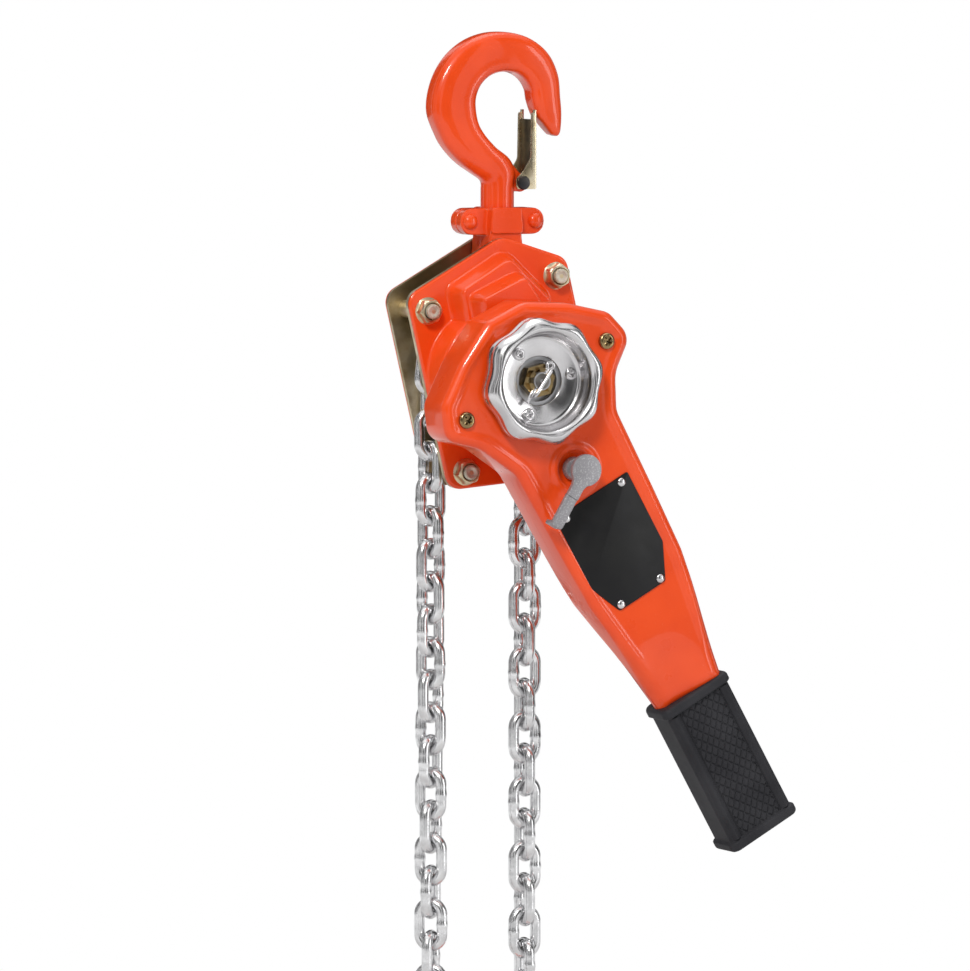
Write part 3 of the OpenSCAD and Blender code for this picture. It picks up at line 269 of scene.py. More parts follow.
class Net:  # the nodes of a material or of the world
    def __init__(self, tree):
        self.tree = tree

    def add(self, kind, settings, sockets, output=0):
        made = self.tree.nodes.new(kind)
        for key, value in settings.items():
            if key == "stops":
                ramp = made.color_ramp
                while len(ramp.elements) < len(value):
                    ramp.elements.new(0.5)
                for element, (position, tone) in zip(ramp.elements, value):
                    element.position, element.color = position, (*tone, 1)
            else:
                setattr(made, key, value)
        for key, value in sockets.items():
            if isinstance(value, Wire):
                self.tree.links.new(value.socket, made.inputs[key])
            else:
                made.inputs[key].default_value = value
        return Wire(self, made.outputs[output])

    def seenRays(self):  # 1 for the rays that see the backdrop: camera, glossy and transmitted
        seen = self.add("ShaderNodeLightPath", {}, {}, "Is Camera Ray")
        rays = seen.socket.node
        for key in ("Is Glossy Ray", "Is Transmission Ray"):
            seen = seen.maths("MAXIMUM", seen, Wire(self, rays.outputs[key]))
        return seen

    def shareOut(self, factor, first, second, last):  # mixes two shaders into the last node
        both = self.add("ShaderNodeMixShader", {}, {0: factor, 1: first, 2: second})
        self.tree.links.new(both.socket, self.tree.nodes[last].inputs[0])


class Finish(Net):
    def __init__(self, name):
        self.material = bpy.data.materials.new(name)
        self.material.use_nodes = True
        super().__init__(self.material.node_tree)
        self.shader = self.tree.nodes["Principled BSDF"]
        self.where = self.add("ShaderNodeTexCoord", {}, {}, "Object")

    def speckle(self, scale, detail=3, stretch=None, rough=0.55):
        where = self.where
        if stretch:
            where = self.add("ShaderNodeVectorMath", {"operation": "MULTIPLY"}, {0: where, 1: stretch})
        return self.add("ShaderNodeTexNoise", {},
                        {"Vector": where, "Scale": scale, "Detail": detail, "Roughness": rough})

    def ramp(self, value, stops):
        return self.add("ShaderNodeValToRGB", {"stops": stops}, {"Fac": value})

    def between(self, value, low, high):  # 0 below low and 1 above high
        return self.add("ShaderNodeMapRange", {"interpolation_type": "SMOOTHSTEP"},
                        {"Value": value, "From Min": low, "From Max": high})

    def mixed(self, factor, *ends):  # two colours, written or wired
        first, second = [end if isinstance(end, Wire) else (*end, 1) for end in ends]
        return self.add("ShaderNodeMix", {"data_type": "RGBA"}, {0: factor, 6: first, 7: second}, 2)

    def bumped(self, height, distance, strength):
        return self.add("ShaderNodeBump", {}, {"Height": height, "Distance": distance, "Strength": strength})

    def finished(self, **values):
        for key, value in values.items():
            socket = self.shader.inputs[key.replace("_", " ")]
            if isinstance(value, Wire):
                self.tree.links.new(value.socket, socket)
            else:
                socket.default_value = value
        return self.material


def glossPaint(name, deep, light, peel, peelScale):
    f = Finish(name)
    dust = f.between(f.speckle(900, 2), 0.66, 0.74)
    tone = f.mixed(f.between(f.speckle(28, 2), 0.3, 0.7), deep, light)
    return f.finished(Base_Color=f.mixed(dust * 0.1, tone, (1, 0.4, 0.25)),
                      Roughness=0.24 + 0.1 * f.speckle(60, 3), Specular_IOR_Level=0.28,
                      Coat_Weight=0.45, Coat_Roughness=0.045,
                      Normal=f.bumped(f.speckle(peelScale, 2), peel, 0.6))


def yellowZinc(name, olive, rough=0.26):
    f = Finish(name)
    cloud = f.speckle(55, 4, rough=0.6)
    tint = f.ramp(cloud, [(0.3, (0.34, 0.29, 0.18)), (0.45, (0.66, 0.55, 0.36)),
                          (0.58, (0.82, 0.74, 0.56)), (0.72, (0.60, 0.44, 0.36))])
    dull = f.mixed(f.between(f.speckle(18, 2), 0.35, 0.7) * olive, tint, (0.30, 0.23, 0.11))
    lines = f.speckle(260, 3, stretch=(1, 1, 9))
    return f.finished(Base_Color=dull, Metallic=1.0, Roughness=rough + 0.22 * f.speckle(140, 3),
                      Normal=f.bumped(lines, 0.00002, 0.5))


def plainMetal(name, base, dark, rough, grain, depth=0.00002, stretch=None, metallic=1.0):
    f = Finish(name)
    cloud = f.speckle(grain * 0.4, 3)
    return f.finished(Base_Color=f.mixed(f.between(cloud, 0.35, 0.7), base, dark), Metallic=metallic,
                      Roughness=rough * 0.7 + rough * 0.7 * f.speckle(grain, 3, stretch=stretch),
                      Normal=f.bumped(f.speckle(grain, 3, stretch=stretch), depth, 0.5))


def mouldedRubber(name, deep, worn, rough, gloss, depth):
    f = Finish(name)
    return f.finished(Base_Color=f.mixed(f.between(f.speckle(40, 3), 0.3, 0.7), deep, worn),
                      Roughness=rough + 0.2 * f.speckle(160, 2), Specular_IOR_Level=gloss,
                      Normal=f.bumped(f.speckle(1500, 2), depth, 0.5))


def grittyCasting(name):
    f = Finish(name)
    fleck = f.between(f.speckle(1100, 2), 0.52, 0.66)
    tone = f.mixed(f.speckle(120, 3), (0.27, 0.265, 0.28), (0.36, 0.35, 0.37))
    return f.finished(Base_Color=f.mixed(fleck * 0.32, tone, (0.85, 0.85, 0.87)), Metallic=0.5,
                      Roughness=0.36 + 0.2 * f.speckle(300, 2),
                      Normal=f.bumped(f.speckle(1000, 3), 0.00008, 0.6))


finishes = {
    "forged_orange": glossPaint("forgedOrange", (0.80, 0.062, 0.005), (0.90, 0.078, 0.009), 0.00006, 300),
    "sheet_orange": glossPaint("sheetOrange", (0.83, 0.064, 0.005), (0.92, 0.082, 0.009), 0.00003, 420),
    "yellow_zinc": yellowZinc("yellowZinc", 0.3),
    "plate_zinc": yellowZinc("plateZinc", 0.95, 0.3),
    "latch_zinc": yellowZinc("latchZinc", 0.35, 0.16),
    "nut_zinc": plainMetal("nutZinc", (0.40, 0.29, 0.14), (0.20, 0.14, 0.07), 0.2, 300),
    # painted shade: a dark brown for the latch's web, standing in for the shade inside its channel
    "latch_painted_shade": plainMetal("latchWebPaintedShade", (0.17, 0.13, 0.075), (0.09, 0.07, 0.045), 0.34, 260),
    "bright_stud": plainMetal("studEnd", (0.66, 0.62, 0.52), (0.46, 0.42, 0.34), 0.5, 700, 0.00006,
                              metallic=0.5),
    "black_steel": plainMetal("blackSteel", (0.03, 0.03, 0.033), (0.06, 0.055, 0.05), 0.35, 300,
                              metallic=0.7),
    "chain_zinc": plainMetal("chainZinc", (0.84, 0.84, 0.85), (0.66, 0.66, 0.67), 0.22, 330, 0.00005),
    "bright_chrome": plainMetal("brightChrome", (0.70, 0.69, 0.70), (0.60, 0.59, 0.60), 0.22, 120, 0.00001),
    "bronze": plainMetal("sinteredBronze", (0.46, 0.30, 0.14), (0.34, 0.22, 0.10), 0.4, 700, 0.00003),
    "friction_lining": plainMetal("frictionLining", (0.10, 0.08, 0.06), (0.16, 0.12, 0.08), 0.8, 900, 0.00005,
                                  metallic=0.0),
    "grip_rubber": mouldedRubber("gripRubber", (0.026, 0.026, 0.030), (0.040, 0.040, 0.045), 0.4, 0.12,
                                 0.00004),
    "label_black": mouldedRubber("labelBlack", (0.010, 0.010, 0.011), (0.014, 0.014, 0.014), 0.3, 0.2,
                                 0.000008),
    "grey_casting": grittyCasting("greyCasting"),
    # a darker steel for the shaft's threaded end than the shaft's plain steel
    "dark_steel": plainMetal("darkenedSteel", (0.20, 0.19, 0.18), (0.11, 0.10, 0.09), 0.36, 500, 0.00004),
    "plain_steel": plainMetal("machinedSteel", (0.42, 0.42, 0.43), (0.30, 0.30, 0.31), 0.34, 260, 0.00002,
                              stretch=(1, 6, 1)),
}
slotOf = {part["node"]: part["material_slot"] for part in frame["record"]["subparts"]}
# duller than their slot
own = {"front_plate": "plate_zinc", "rear_plate": "plate_zinc", "castle_nut": "nut_zinc"}
for name, node in nodes.items():
    node.data.materials.clear()
    node.data.materials.append(finishes[own.get(name, slotOf[name])])
print("finishes made:", len(finishes))


# Camera, lamps and stage
view = {"azimuth": -25.5, "elevation": 4.0, "distance": 4.5, "wide": 0.5385, "aimX": 3.5, "aimZ": -62.0}


def setCamera():
    a, e = radians(view["azimuth"]), radians(view["elevation"])
    back = Vector((sin(a) * cos(e), -cos(a) * cos(e), sin(e)))
    right = Vector((cos(a), sin(a), 0))
    above = back.cross(right)
    aim = shaft + (right * view["aimX"] + above * view["aimZ"]) * 0.001
    data = bpy.data.cameras.new("camera")
    data.sensor_width = 36
    data.lens = 36 * view["distance"] / view["wide"]
    camera = added("camera", data)
    camera.location = aim + back * view["distance"]
    camera.rotation_mode = "QUATERNION"
    camera.rotation_quaternion = back.to_track_quat("Z", "Y")
    data.clip_start, data.clip_end = 0.05, 60
    bpy.context.scene.camera = camera


lamps = [  # name, place, size, watts, tint
    ("keyLamp", (-1.2, -1.6, 1.4), (0.45, 0.45), 31, (1, 0.985, 0.96)),
    ("fillLamp", (1.4, -1.5, 0.2), (0.35, 1.5), 8, (1, 1, 1)),
    ("leftLamp", (-1.9, -0.3, 0.1), (0.25, 1.6), 1.0, (1, 1, 1)),
    ("topLamp", (0.1, 0.1, 1.7), (1.1, 1.1), 9, (1, 1, 1)),
]


def setLamps():
    for name, spot, size, watts, tint in lamps:
        data = bpy.data.lights.new(name, "AREA")
        data.shape, data.size, data.size_y = "RECTANGLE", *size
        data.energy, data.color = watts, tint
        lamp = added(name, data)
        lamp.location = Vector(spot) + shaft
        lamp.rotation_mode = "QUATERNION"
        lamp.rotation_quaternion = (lamp.location - shaft).to_track_quat("Z", "Y")


stage = {"world": 0.34, "floor": 9, "shadowFrom": 0.75, "shadowTo": 1.3,
         "flags": 9, "flagShare": 0.72, "flagAway": 2.6, "flagTone": 0.03, "flagFoot": -1.6,
         "flagTop": 2.4}


def setWorld():
    world = bpy.data.worlds.new("studio")
    bpy.context.scene.world = world
    world.use_nodes = True
    net = Net(world.node_tree)
    plain = net.tree.nodes["Background"]
    plain.inputs[0].default_value, plain.inputs[1].default_value = (1, 1, 1, 1), stage["world"]
    white = net.add("ShaderNodeBackground", {}, {"Color": (1, 1, 1, 1), "Strength": 1})
    net.shareOut(net.seenRays(), Wire(net, plain.outputs[0]), white, "World Output")


def setFloor():
    low, far = cadBounds[0][2] - 0.001, stage["floor"]
    mesh = bpy.data.meshes.new("floor")
    mesh.from_pydata([(-far, -far, low), (far, -far, low), (far, far, low), (-far, far, low)], [],
                     [(0, 1, 2, 3)])
    pale = Finish("paleFloor")
    pale.finished(Base_Color=(0.86, 0.86, 0.86, 1), Roughness=0.9)
    away = pale.add("ShaderNodeVectorMath", {"operation": "LENGTH"}, {0: pale.where}, 1)
    away = pale.between(away, stage["shadowFrom"], stage["shadowTo"]) * pale.seenRays()
    white = pale.add("ShaderNodeEmission", {}, {})
    pale.shareOut(away, Wire(pale, pale.shader.outputs[0]), white, "Material Output")
    mesh.materials.append(pale.material)
    added("floor", mesh)


def setFlags():  # dark upright cards round the part: only its reflections see them
    dark = Finish("flagCloth")
    dark.finished(Base_Color=(stage["flagTone"],) * 3 + (1,), Roughness=1.0, Specular_IOR_Level=0.0)
    turn, share, count = 2 * pi / stage["flags"], stage["flagShare"] / 2, 7
    for k in range(stage["flags"]):
        line = [shaft.xy + stage["flagAway"] * Vector((sin(a), -cos(a)))
                for a in np.linspace(turn * (k - share), turn * (k + share), count)]
        mesh = bpy.data.meshes.new("flag")
        mesh.from_pydata([(x, y, z) for z in (stage["flagFoot"], stage["flagTop"]) for x, y in line], [],
                         [(i, i + 1, i + 1 + count, i + count) for i in range(count - 1)])
        mesh.materials.append(dark.material)
        flag = added(f"flag{k}", mesh)
        flag.visible_camera = flag.visible_diffuse = flag.visible_shadow = flag.visible_transmission = False


bpy.context.scene.view_settings.view_transform = "Standard"
setCamera()
setLamps()
setWorld()
setFloor()
setFlags()
print("camera, lamps, floor and flags set")


# Shapes that follow an outline
def smooth(value, low, high):  # 0 below low, 1 above high
    t = np.clip((np.asarray(value, dtype=float) - low) / (high - low), 0, 1)
    return t * t * (3 - 2 * t)


def depthInside(x, z, outline):  # distance from an outline, positive inside it
    line = np.array(outline)
    nearby = np.roll(line, -1, axis=0)
    best, inside = np.full(x.shape, 1e9), np.zeros(x.shape, dtype=bool)
    for (ax, az), (bx, bz) in zip(line, nearby):
        run = (bx - ax) ** 2 + (bz - az) ** 2
        t = np.clip(((x - ax) * (bx - ax) + (z - az) * (bz - az)) / max(run, 1e-9), 0, 1)
        best = np.minimum(best, np.hypot(x - ax - t * (bx - ax), z - az - t * (bz - az)))
        if abs(bz - az) > 1e-9:
            cross = ax + (z - az) * (bx - ax) / (bz - az)
            inside ^= ((az > z) != (bz > z)) & (x < cross)
    return np.where(inside, best, -best)


def reachAt(outline, angles):  # how far an outline lies from the shaft at each angle
    line = np.array(outline)
    turn = np.unwrap(np.arctan2(line[:, 1], line[:, 0]))
    if turn[-1] < turn[0]:
        line, turn = line[::-1], turn[::-1]
    nearby, ahead = np.roll(line, -1, axis=0), np.append(turn[1:], turn[0] + 2 * pi)
    out = []
    for angle in angles:
        angle = turn[0] + (angle - turn[0]) % (2 * pi)
        i = min(int(np.searchsorted(ahead, angle)), len(line) - 1)
        way, a, b = np.array([cos(angle), sin(angle)]), line[i], nearby[i]
        edge = b - a
        out.append((a[0] * edge[1] - a[1] * edge[0]) / (way[0] * edge[1] - way[1] * edge[0]))
    return np.array(out)


def sheetOf(x, front, back, z, around=True):  # two surfaces over one grid, joined along the grid's borders
    rows, count = x.shape
    points = list(zip(x.ravel(), front.ravel(), z.ravel())) + list(zip(x.ravel(), back.ravel(), z.ravel()))
    half, faces = rows * count, []
    span = count if around else count - 1
    for r in range(rows - 1):
        for c in range(span):
            a, b = r * count + c, r * count + (c + 1) % count
            faces.append((a, b, b + count, a + count))
            faces.append((half + a, half + a + count, half + b + count, half + b))
    for c in range(span):
        for row, way in ((0, 1), (rows - 1, -1)):
            a, b = row * count + c, row * count + (c + 1) % count
            faces.append((a, half + a, half + b, b)[::way])
    if not around:
        for r in range(rows - 1):
            for column, way in ((0, -1), (count - 1, 1)):
                a, b = r * count + column, (r + 1) * count + column
                faces.append((a, half + a, half + b, b)[::way])
    return points, faces


# The pressed covers of the body
cover = {"sheet": 1.5, "hole": 14, "rim": 0.7, "wall": 5.8, "lowStep": 13, "highStep": 26,
         "drum": 37.5, "drumWall": 8.5, "rings": 110, "sides": 480}
plate = {"left": 39.7, "right": 59.5, "peak": 73, "top": 55, "foot": 55.5}
plateLine = rounded([
    (-plate["left"], plate["top"], 9), (24, plate["peak"], 13), (plate["right"], plate["top"] - 3.2, 9),
    (plate["right"], 1 - plate["foot"], 9), (14, -plate["foot"] - 8, 16),
    (-plate["left"], -plate["foot"], 9)])
lowTower = rounded([(-17, 12, 8), (-16.5, 55, 8), (23, 67.5, 11), (47, 31, 10), (22, 6, 5)])
highTower = rounded([(-11.5, 14, 8), (-11, 50, 7), (25, 57, 9), (36, 28, 8), (22, 8, 5)])
heel = rounded([(-6, -8, 5), (44, -14, 10), (44, -47, 10), (8, -56, 10), (-8, -40, 10)])


def coverGrid(outline, hole):
    angles = np.linspace(0, 2 * pi, cover["sides"], endpoint=False)
    share = np.concatenate([[0, 0.004, 0.01], np.linspace(0.018, 0.982, cover["rings"]), [0.99, 0.996, 1]])
    radius = hole + share[:, None] * (reachAt(outline, angles) - hole)[None, :]
    return radius * np.cos(angles), radius * np.sin(angles), radius


def brakeCoverShape():
    x, z, radius = coverGrid(plateLine, cover["hole"])
    back, face = level("brake_cover", 1), level("brake_cover", 0)
    deep = back - face - cover["sheet"]
    low = cover["lowStep"] * smooth(depthInside(x, z, lowTower), -1, cover["wall"])
    high = cover["highStep"] * smooth(depthInside(x, z, highTower), -2.5, cover["wall"])
    base = (cover["highStep"] - 3) * smooth(depthInside(x, z, heel), -1, cover["wall"] + 3)
    drumLow = cover["lowStep"] * smooth(cover["drum"] + 3 - radius, 0, cover["wall"])
    drum = deep * smooth(cover["drum"] - radius, -1, cover["drumWall"])
    stack = np.stack([low, high, base, drumLow, drum, np.zeros_like(x)])
    height = np.log(np.exp(stack).sum(axis=0))  # the steps run into each other with soft fillets
    height = np.clip(height - log(len(stack)) * np.exp(-height / 3), 0, deep)
    edge = depthInside(x, z, plateLine)
    lip = cover["rim"] * (1 - smooth(edge, 0, 1.6)) ** 2
    front = back - cover["sheet"] - height + lip
    inner = np.maximum(front + cover["sheet"] * 0.95, face + cover["sheet"])
    return sheetOf(x, front, np.where(height < 0.2, back, inner), z)


def gearCoverShape():
    x, z, radius = coverGrid(plateLine, 0.4)
    back, face = level("gear_cover", 0), level("gear_cover", 1)
    deep = face - back - cover["sheet"]
    box = rounded([(-24, 54, 20), (24, 54, 20), (24, -54, 20), (-24, -54, 20)])
    rise = deep * smooth(depthInside(x, z, box), -0.5, 7)
    step = 2.2 * smooth(13 - radius, -1, 2) - 2.2
    height = np.clip(rise + step * smooth(depthInside(x, z, box), 6, 9), 0, deep)
    lip = cover["rim"] * (1 - smooth(depthInside(x, z, plateLine), 0, 1.6)) ** 2
    front = back + cover["sheet"] + height - lip
    inner = np.where(height < 0.2, back, np.minimum(front - cover["sheet"] * 0.95, face - cover["sheet"]))
    return sheetOf(x, front, inner, z)


piece("brakeCover", brakeCoverShape(), atBody, "frame", "sheet_orange", ("brake_cover",), 60)
piece("gearCover", gearCoverShape(), atBody, "frame", "sheet_orange", ("gear_cover",), 60)
print("covers pressed")


# The lever's two halves
lever = {"head": 61.5, "screwAt": 47.2, "neck": 33.8, "turn": 3.3, "length": 293, "grip": 93, "gripWidth": 23,
         "bead": 0.9, "edge": 3.2, "edgeMore": 5.5, "well": 22, "wellDeep": 7.5, "selectorAt": 54.5,
         "cup": 3.6, "cupLip": 1.5, "scoop": 4.6, "taperFrom": 112, "taperTo": 160, "taper": 7.5}
gripTop = lever["grip"] - lever["length"]
leverFront, leverMid = level("label_plate", 1), level("lever_front_shell", 1)
leverBack = level("lever_rear_shell", 1)
turnCos, turnSin = cos(radians(lever["turn"])), sin(radians(lever["turn"]))
headHalf = [(12, 42, 6), (36, 29, 10), (lever["head"] - 5, 13, 10), (lever["head"] + 1, -5, 10),
            (lever["screwAt"] - 1.6, -19, 20)]
neckHalf = [(lever["neck"] + 1.2, -40, 14), (lever["neck"] - 0.2, -88, 30), (lever["neck"] - 1.8, -127, 24),
            (lever["gripWidth"] - 2.8, gripTop - 4, 0.5)]
headTurned = [(x * turnCos + z * turnSin, z * turnCos - x * turnSin, r) for x, z, r in headHalf]
headBack = [(-x * turnCos + z * turnSin, z * turnCos + x * turnSin, r) for x, z, r in reversed(headHalf)]
leverLine = rounded(headTurned + neckHalf + [(-x, z, r) for x, z, r in reversed(neckHalf)] + headBack)
selectorSpot = (-lever["selectorAt"] * sin(radians(selectorOff)),
                -lever["selectorAt"] * cos(radians(selectorOff)))


def crossings(outline, z):  # where a level line enters and leaves the outline
    line = np.array(outline)
    nearby = np.roll(line, -1, axis=0)
    hits = [a[0] + (z - a[1]) * (b[0] - a[0]) / (b[1] - a[1]) for a, b in zip(line, nearby)
            if (a[1] > z) != (b[1] > z)]
    return min(hits), max(hits)


def leverGrid():
    high, low = max(z for _, z in leverLine), min(z for _, z in leverLine)
    heights = np.concatenate([high - np.array([0.02, 0.2, 0.5, 1, 1.6, 2.4, 3.4, 4.4]),
                              np.arange(high - 5.4, low + 0.4, -1.1), [low + 0.01]])
    near = np.array([0, 0.12, 0.35, 0.7, 1.15, 1.7, 2.4, 3.2, 4.1, 5, 6, 7, 8, 9.2])
    x, z = [], []
    for height in heights:
        left, right = crossings(leverLine, height)
        half = (right - left) / 2
        inset = near * min(1, half / 14)
        middle = np.linspace(left + inset[-1], right - inset[-1], 64)[1:-1]
        row = np.concatenate([left + inset, middle, (right - inset)[::-1]])
        x.append(row)
        z.append(np.full(row.shape, height))
    return np.array(x), np.array(z)


def leverShape(side):  # side is -1 for the front half and 1 for the rear one
    x, z = leverGrid()
    edge = depthInside(x, z, leverLine)
    ease = lever["edge"] + lever["edgeMore"] * smooth(-z, 140, 192)  # rounder towards the grip
    dip = ease * (1 - np.sqrt(np.clip(1 - (1 - np.clip(edge / ease, 0, 1)) ** 2, 0, 1)))
    fade = smooth(-z, 200, 150)
    bead = lever["bead"] * np.exp(-((edge - 4.6) / 2.1) ** 2) * fade
    if side < 0:
        radius = np.hypot(x, z)
        well = lever["wellDeep"] * (1 - smooth(radius, lever["well"] - 1, lever["well"] + 1.5))
        spot = np.hypot(x - selectorSpot[0], z - selectorSpot[1])
        lip = lever["cupLip"] * np.exp(-((spot - 12.3) / 2.0) ** 2)
        cup = lever["cup"] * (1 - smooth(spot, 6.5, 11.5))
        scoop = lever["scoop"] * smooth(-z, 158, 198) * smooth(x, 16, -18)
        outer = leverFront + dip - bead - lip + cup + well + scoop
        inner = np.full(x.shape, leverMid)
    else:
        taper = lever["taper"] * smooth(-z, lever["taperFrom"] - 4, lever["taperTo"] + 4)
        outer = leverBack - dip + bead * 0.6 - taper
        inner = np.full(x.shape, leverMid + 0.1)
    return sheetOf(x, outer, inner, z, around=False)


piece("leverFrontShell", leverShape(-1), atLever, "lever", "sheet_orange", ("lever_front_shell",), 55)
piece("leverRearShell", leverShape(1), atLever, "lever", "sheet_orange", ("lever_rear_shell",), 55)
print("lever pressed")


# The grip, with its collars, bead columns and knurl
grip = {"collar": 6.2, "collarRound": 2.6, "body": 1.9, "panel": 13.2, "groove": 0.75, "cut": 0.36,
        "pitch": 4.6, "slant": 38, "column": 1.3, "columnAt": 17.4, "border": 0.7, "sunk": 0.35,
        "steps": 280, "around": 380}


def gripSection():  # a rounded rectangle, as evenly spaced points
    deep = level("grip", 1) - level("grip", 0)
    half = lever["gripWidth"]
    return evenly(rounded([(half, deep / 2, 6), (-half, deep / 2, 6), (-half, -deep / 2, 5),
                           (half, -deep / 2, 5)], 10), grip["around"])


def gripShape():
    front, back = level("grip", 0), level("grip", 1)
    middle, top, foot = (front + back) / 2, gripTop - 0.3, -lever["length"]
    section = np.array(gripSection())
    along = np.roll(section, -1, axis=0) - np.roll(section, 1, axis=0)
    along /= np.linalg.norm(along, axis=1)[:, None]
    outward = np.stack([along[:, 1], -along[:, 0]], axis=1)
    if np.sum(outward * section) < 0:
        outward = -outward
    across, faced = section[:, 0], np.abs(outward[:, 1]) > 0.9
    column = np.abs(across)
    bead = -grip["column"] * np.exp(-((column - grip["columnAt"]) / 2.0) ** 2) * faced
    border = grip["border"] * np.exp(-((column - grip["panel"] - 0.8) / 0.45) ** 2) * faced
    rings = []
    for z in np.concatenate([[top], np.linspace(top - 0.05, foot + 0.05, grip["steps"]), [foot]]):
        away = min(top - z, z - foot)
        size = grip["collarRound"]
        inset = size * (1 - sqrt(max(0, 1 - (1 - min(1, away / size)) ** 2)))
        inset += grip["body"] * float(smooth(away, grip["collar"] - 1.2, grip["collar"] + 0.5))
        if away > grip["collar"] + 0.2:
            cuts = np.zeros(len(section))
            for slant, pitch in ((grip["slant"], grip["pitch"]), (-grip["slant"], grip["pitch"] * 0.78)):
                t = radians(slant)
                phase = (across * cos(t) + z * sin(t)) / pitch
                off = np.abs(phase - np.round(phase)) * pitch
                cuts = np.maximum(cuts, np.exp(-(off / grip["cut"]) ** 2))
            cuts = grip["groove"] * cuts * (column < grip["panel"]) * faced
            depth = inset + bead + border + cuts + grip["sunk"] * (column < grip["panel"]) * faced
        else:
            depth = np.full(len(section), inset)
        ring = section - outward * depth[:, None]
        rings.append([(x, middle + y, z) for x, y in ring])
    return loft(rings)


piece("gripSleeve", gripShape(), atLever, "lever", "grip_rubber", ("grip",), 50)
print("grip moulded")


# Hooks, latches and yokes
hook = {"bowlX": 1.8, "bowl": 17.3, "point": 17.9, "crown": 22.2, "back": 26.4, "width": 18, "shank": 9.3,
        "drop": 57, "tipWidth": 14, "latchX": 11.8, "latchDrop": 44, "lug": 4.5, "lugRound": 5.2}
tipRows = [(31.5, -17.6, 36.2, -18.8, 7), (29.5, -15.4, 37.5, -16.7, 9.5), (26, -11.4, 38.1, -11.4, 11.5),
           (22, -6.6, 38.2, -4.6, 12.5)]
neckRows = [(-13.8, -10.5, -37, -17), (-9.5, -17.5, -32, -25), (-3, -24, -24, -33), (5.5, -30, -15.5, -38.8),
            (9.2, -37, -9.6, -43)]


def bowlRow(angle):
    a, c, s = radians(angle), cos(radians(angle)), sin(radians(angle))
    if angle < 90:
        thick = hook["point"] + (hook["crown"] - hook["point"]) * min(1, angle / 50)
    else:
        thick = hook["crown"] + (hook["back"] - hook["crown"]) * (angle - 90) / 90
    inner, outer = hook["bowl"] + (sin(2 * a) if angle < 90 else 0), hook["bowl"] + thick
    return (hook["bowlX"] + inner * c, inner * s, hook["bowlX"] + outer * c, outer * s,
            hook["tipWidth"] + (hook["width"] - hook["tipWidth"]) * min(1, angle / 60))


def hookShape():
    rows = tipRows + [bowlRow(angle) for angle in range(5, 186, 20)]
    rows += [(*row, hook["width"]) for row in neckRows]
    rows += [(hook["shank"], -48, -hook["shank"], -48, 2 * hook["shank"])]
    rings, sides = [], 40
    for x1, z1, x2, z2, width in splined(rows, 7):
        # flat faces on the bowl, round at the shank
        square, ring = max(0, min(1, ((z1 + z2) / 2 + 46) / 20)), []
        for a in turns(sides):
            c, s = cos(a), sin(a)
            out = copysign(abs(c) ** (1 - 0.3 * square), c)
            wide = copysign(abs(s) ** (1 - 0.54 * square), s) * width / 2 * (1 - 0.1 * c * square)
            ring.append(((x1 + x2) / 2 + (x2 - x1) / 2 * out, wide, (z1 + z2) / 2 + (z2 - z1) / 2 * out))
        rings.append(ring)
    circle = [(hook["shank"] * cos(a), hook["shank"] * sin(a))
              for a in np.linspace(0, 2 * pi, sides, endpoint=False)]
    shank = loft([[(x, y, z) for x, y in circle] for z in (-46.5, -hook["drop"] - 8)])
    boss = prism([(hook["latchX"] + hook["lugRound"] * cos(a),
                   -hook["latchDrop"] + hook["lugRound"] * sin(a))
                  for a in np.linspace(-pi / 2, pi / 2, 14)]
                 + [(6, -hook["latchDrop"] + 12), (5, -hook["latchDrop"] - 3)], -hook["lug"], hook["lug"])
    return joined(loft(rings), shank, boss)


latch = {"wide": 9, "sheet": 1.4, "back": 19.8, "head": 3.9, "end": 9.1}


def latchShapes():  # a bent sheet channel, open towards the bowl: the cheeks, and the web between them
    wide, sheet, back, drop = latch["wide"], latch["sheet"], latch["back"], hook["latchDrop"]
    side = rounded([(back, -5, 1.2), (16.9, -5.2, 1.4), (16.4, -drop + 13, 6), (hook["latchX"], -drop + 6, 3),
                    (hook["latchX"] - 4.4, -drop + 2.6, 3.4), (hook["latchX"] - 4.4, -drop - 3.6, 2.6),
                    (back, -drop - 3.6, 0.6)], 6)
    cheeks = [slab(side, s * wide - (sheet if s > 0 else 0), s * wide + (0 if s > 0 else sheet), 0.25)
              for s in (-1, 1)]
    web = slab([(back, -drop - 3.2), (back, -9), (back - sheet, -9), (back - sheet, -drop - 3.2)],
               -wide + 0.6, wide - 0.6, 0.2)
    earLine = [(back, -9.5), (back, -3.7), (back - sheet, -3.7), (back - sheet, -9.5)]
    ears = [slab(earLine, s * 7.9 - 1, s * 7.9 + 1, 0.2) for s in (-1, 1)]
    return joined(*cheeks, *ears), web


def latchPinShape():
    end, centre, ends = latch["end"], (hook["latchX"], -hook["latchDrop"]), []
    for s in (-1, 1):
        rows = [(0.01, 0), (latch["head"], 0), (latch["head"], 0.4), (3.4, 1.2), (2.2, 1.5), (0.01, 1.5)]
        ends.append(lathe([(radius, s * end + s * up) for radius, up in rows], 40, centre))
    return joined(*ends, lathe([(0.01, -9.2), (2.6, -9.2), (2.6, 9.2), (0.01, 9.2)], 32, centre))


hookEnds = [("top", atTopHook), ("bottom", atBottomHook)]
for end, place in hookEnds:
    name = end.capitalize()
    piece("hook" + name, hookShape(), place, "hook_" + end, "forged_orange", (end + "_hook",),
          soft=(0.55, 6))
    cheeks, web = latchShapes()
    piece("latch" + name, cheeks, place, "latch_" + end, "yellow_zinc", (end + "_latch",), 35,
          finish="latch_zinc")
    # the web wears the painted shade finish, so it reads darker than the cheeks
    piece("latchWeb" + name, web, place, "latch_" + end, "yellow_zinc", (), 35, finish="latch_painted_shade")
    piece("latchPin" + name, latchPinShape(), place, "hook_" + end, "black_steel",
          (end + "_latch_pin",), 35)
print("hooks forged")

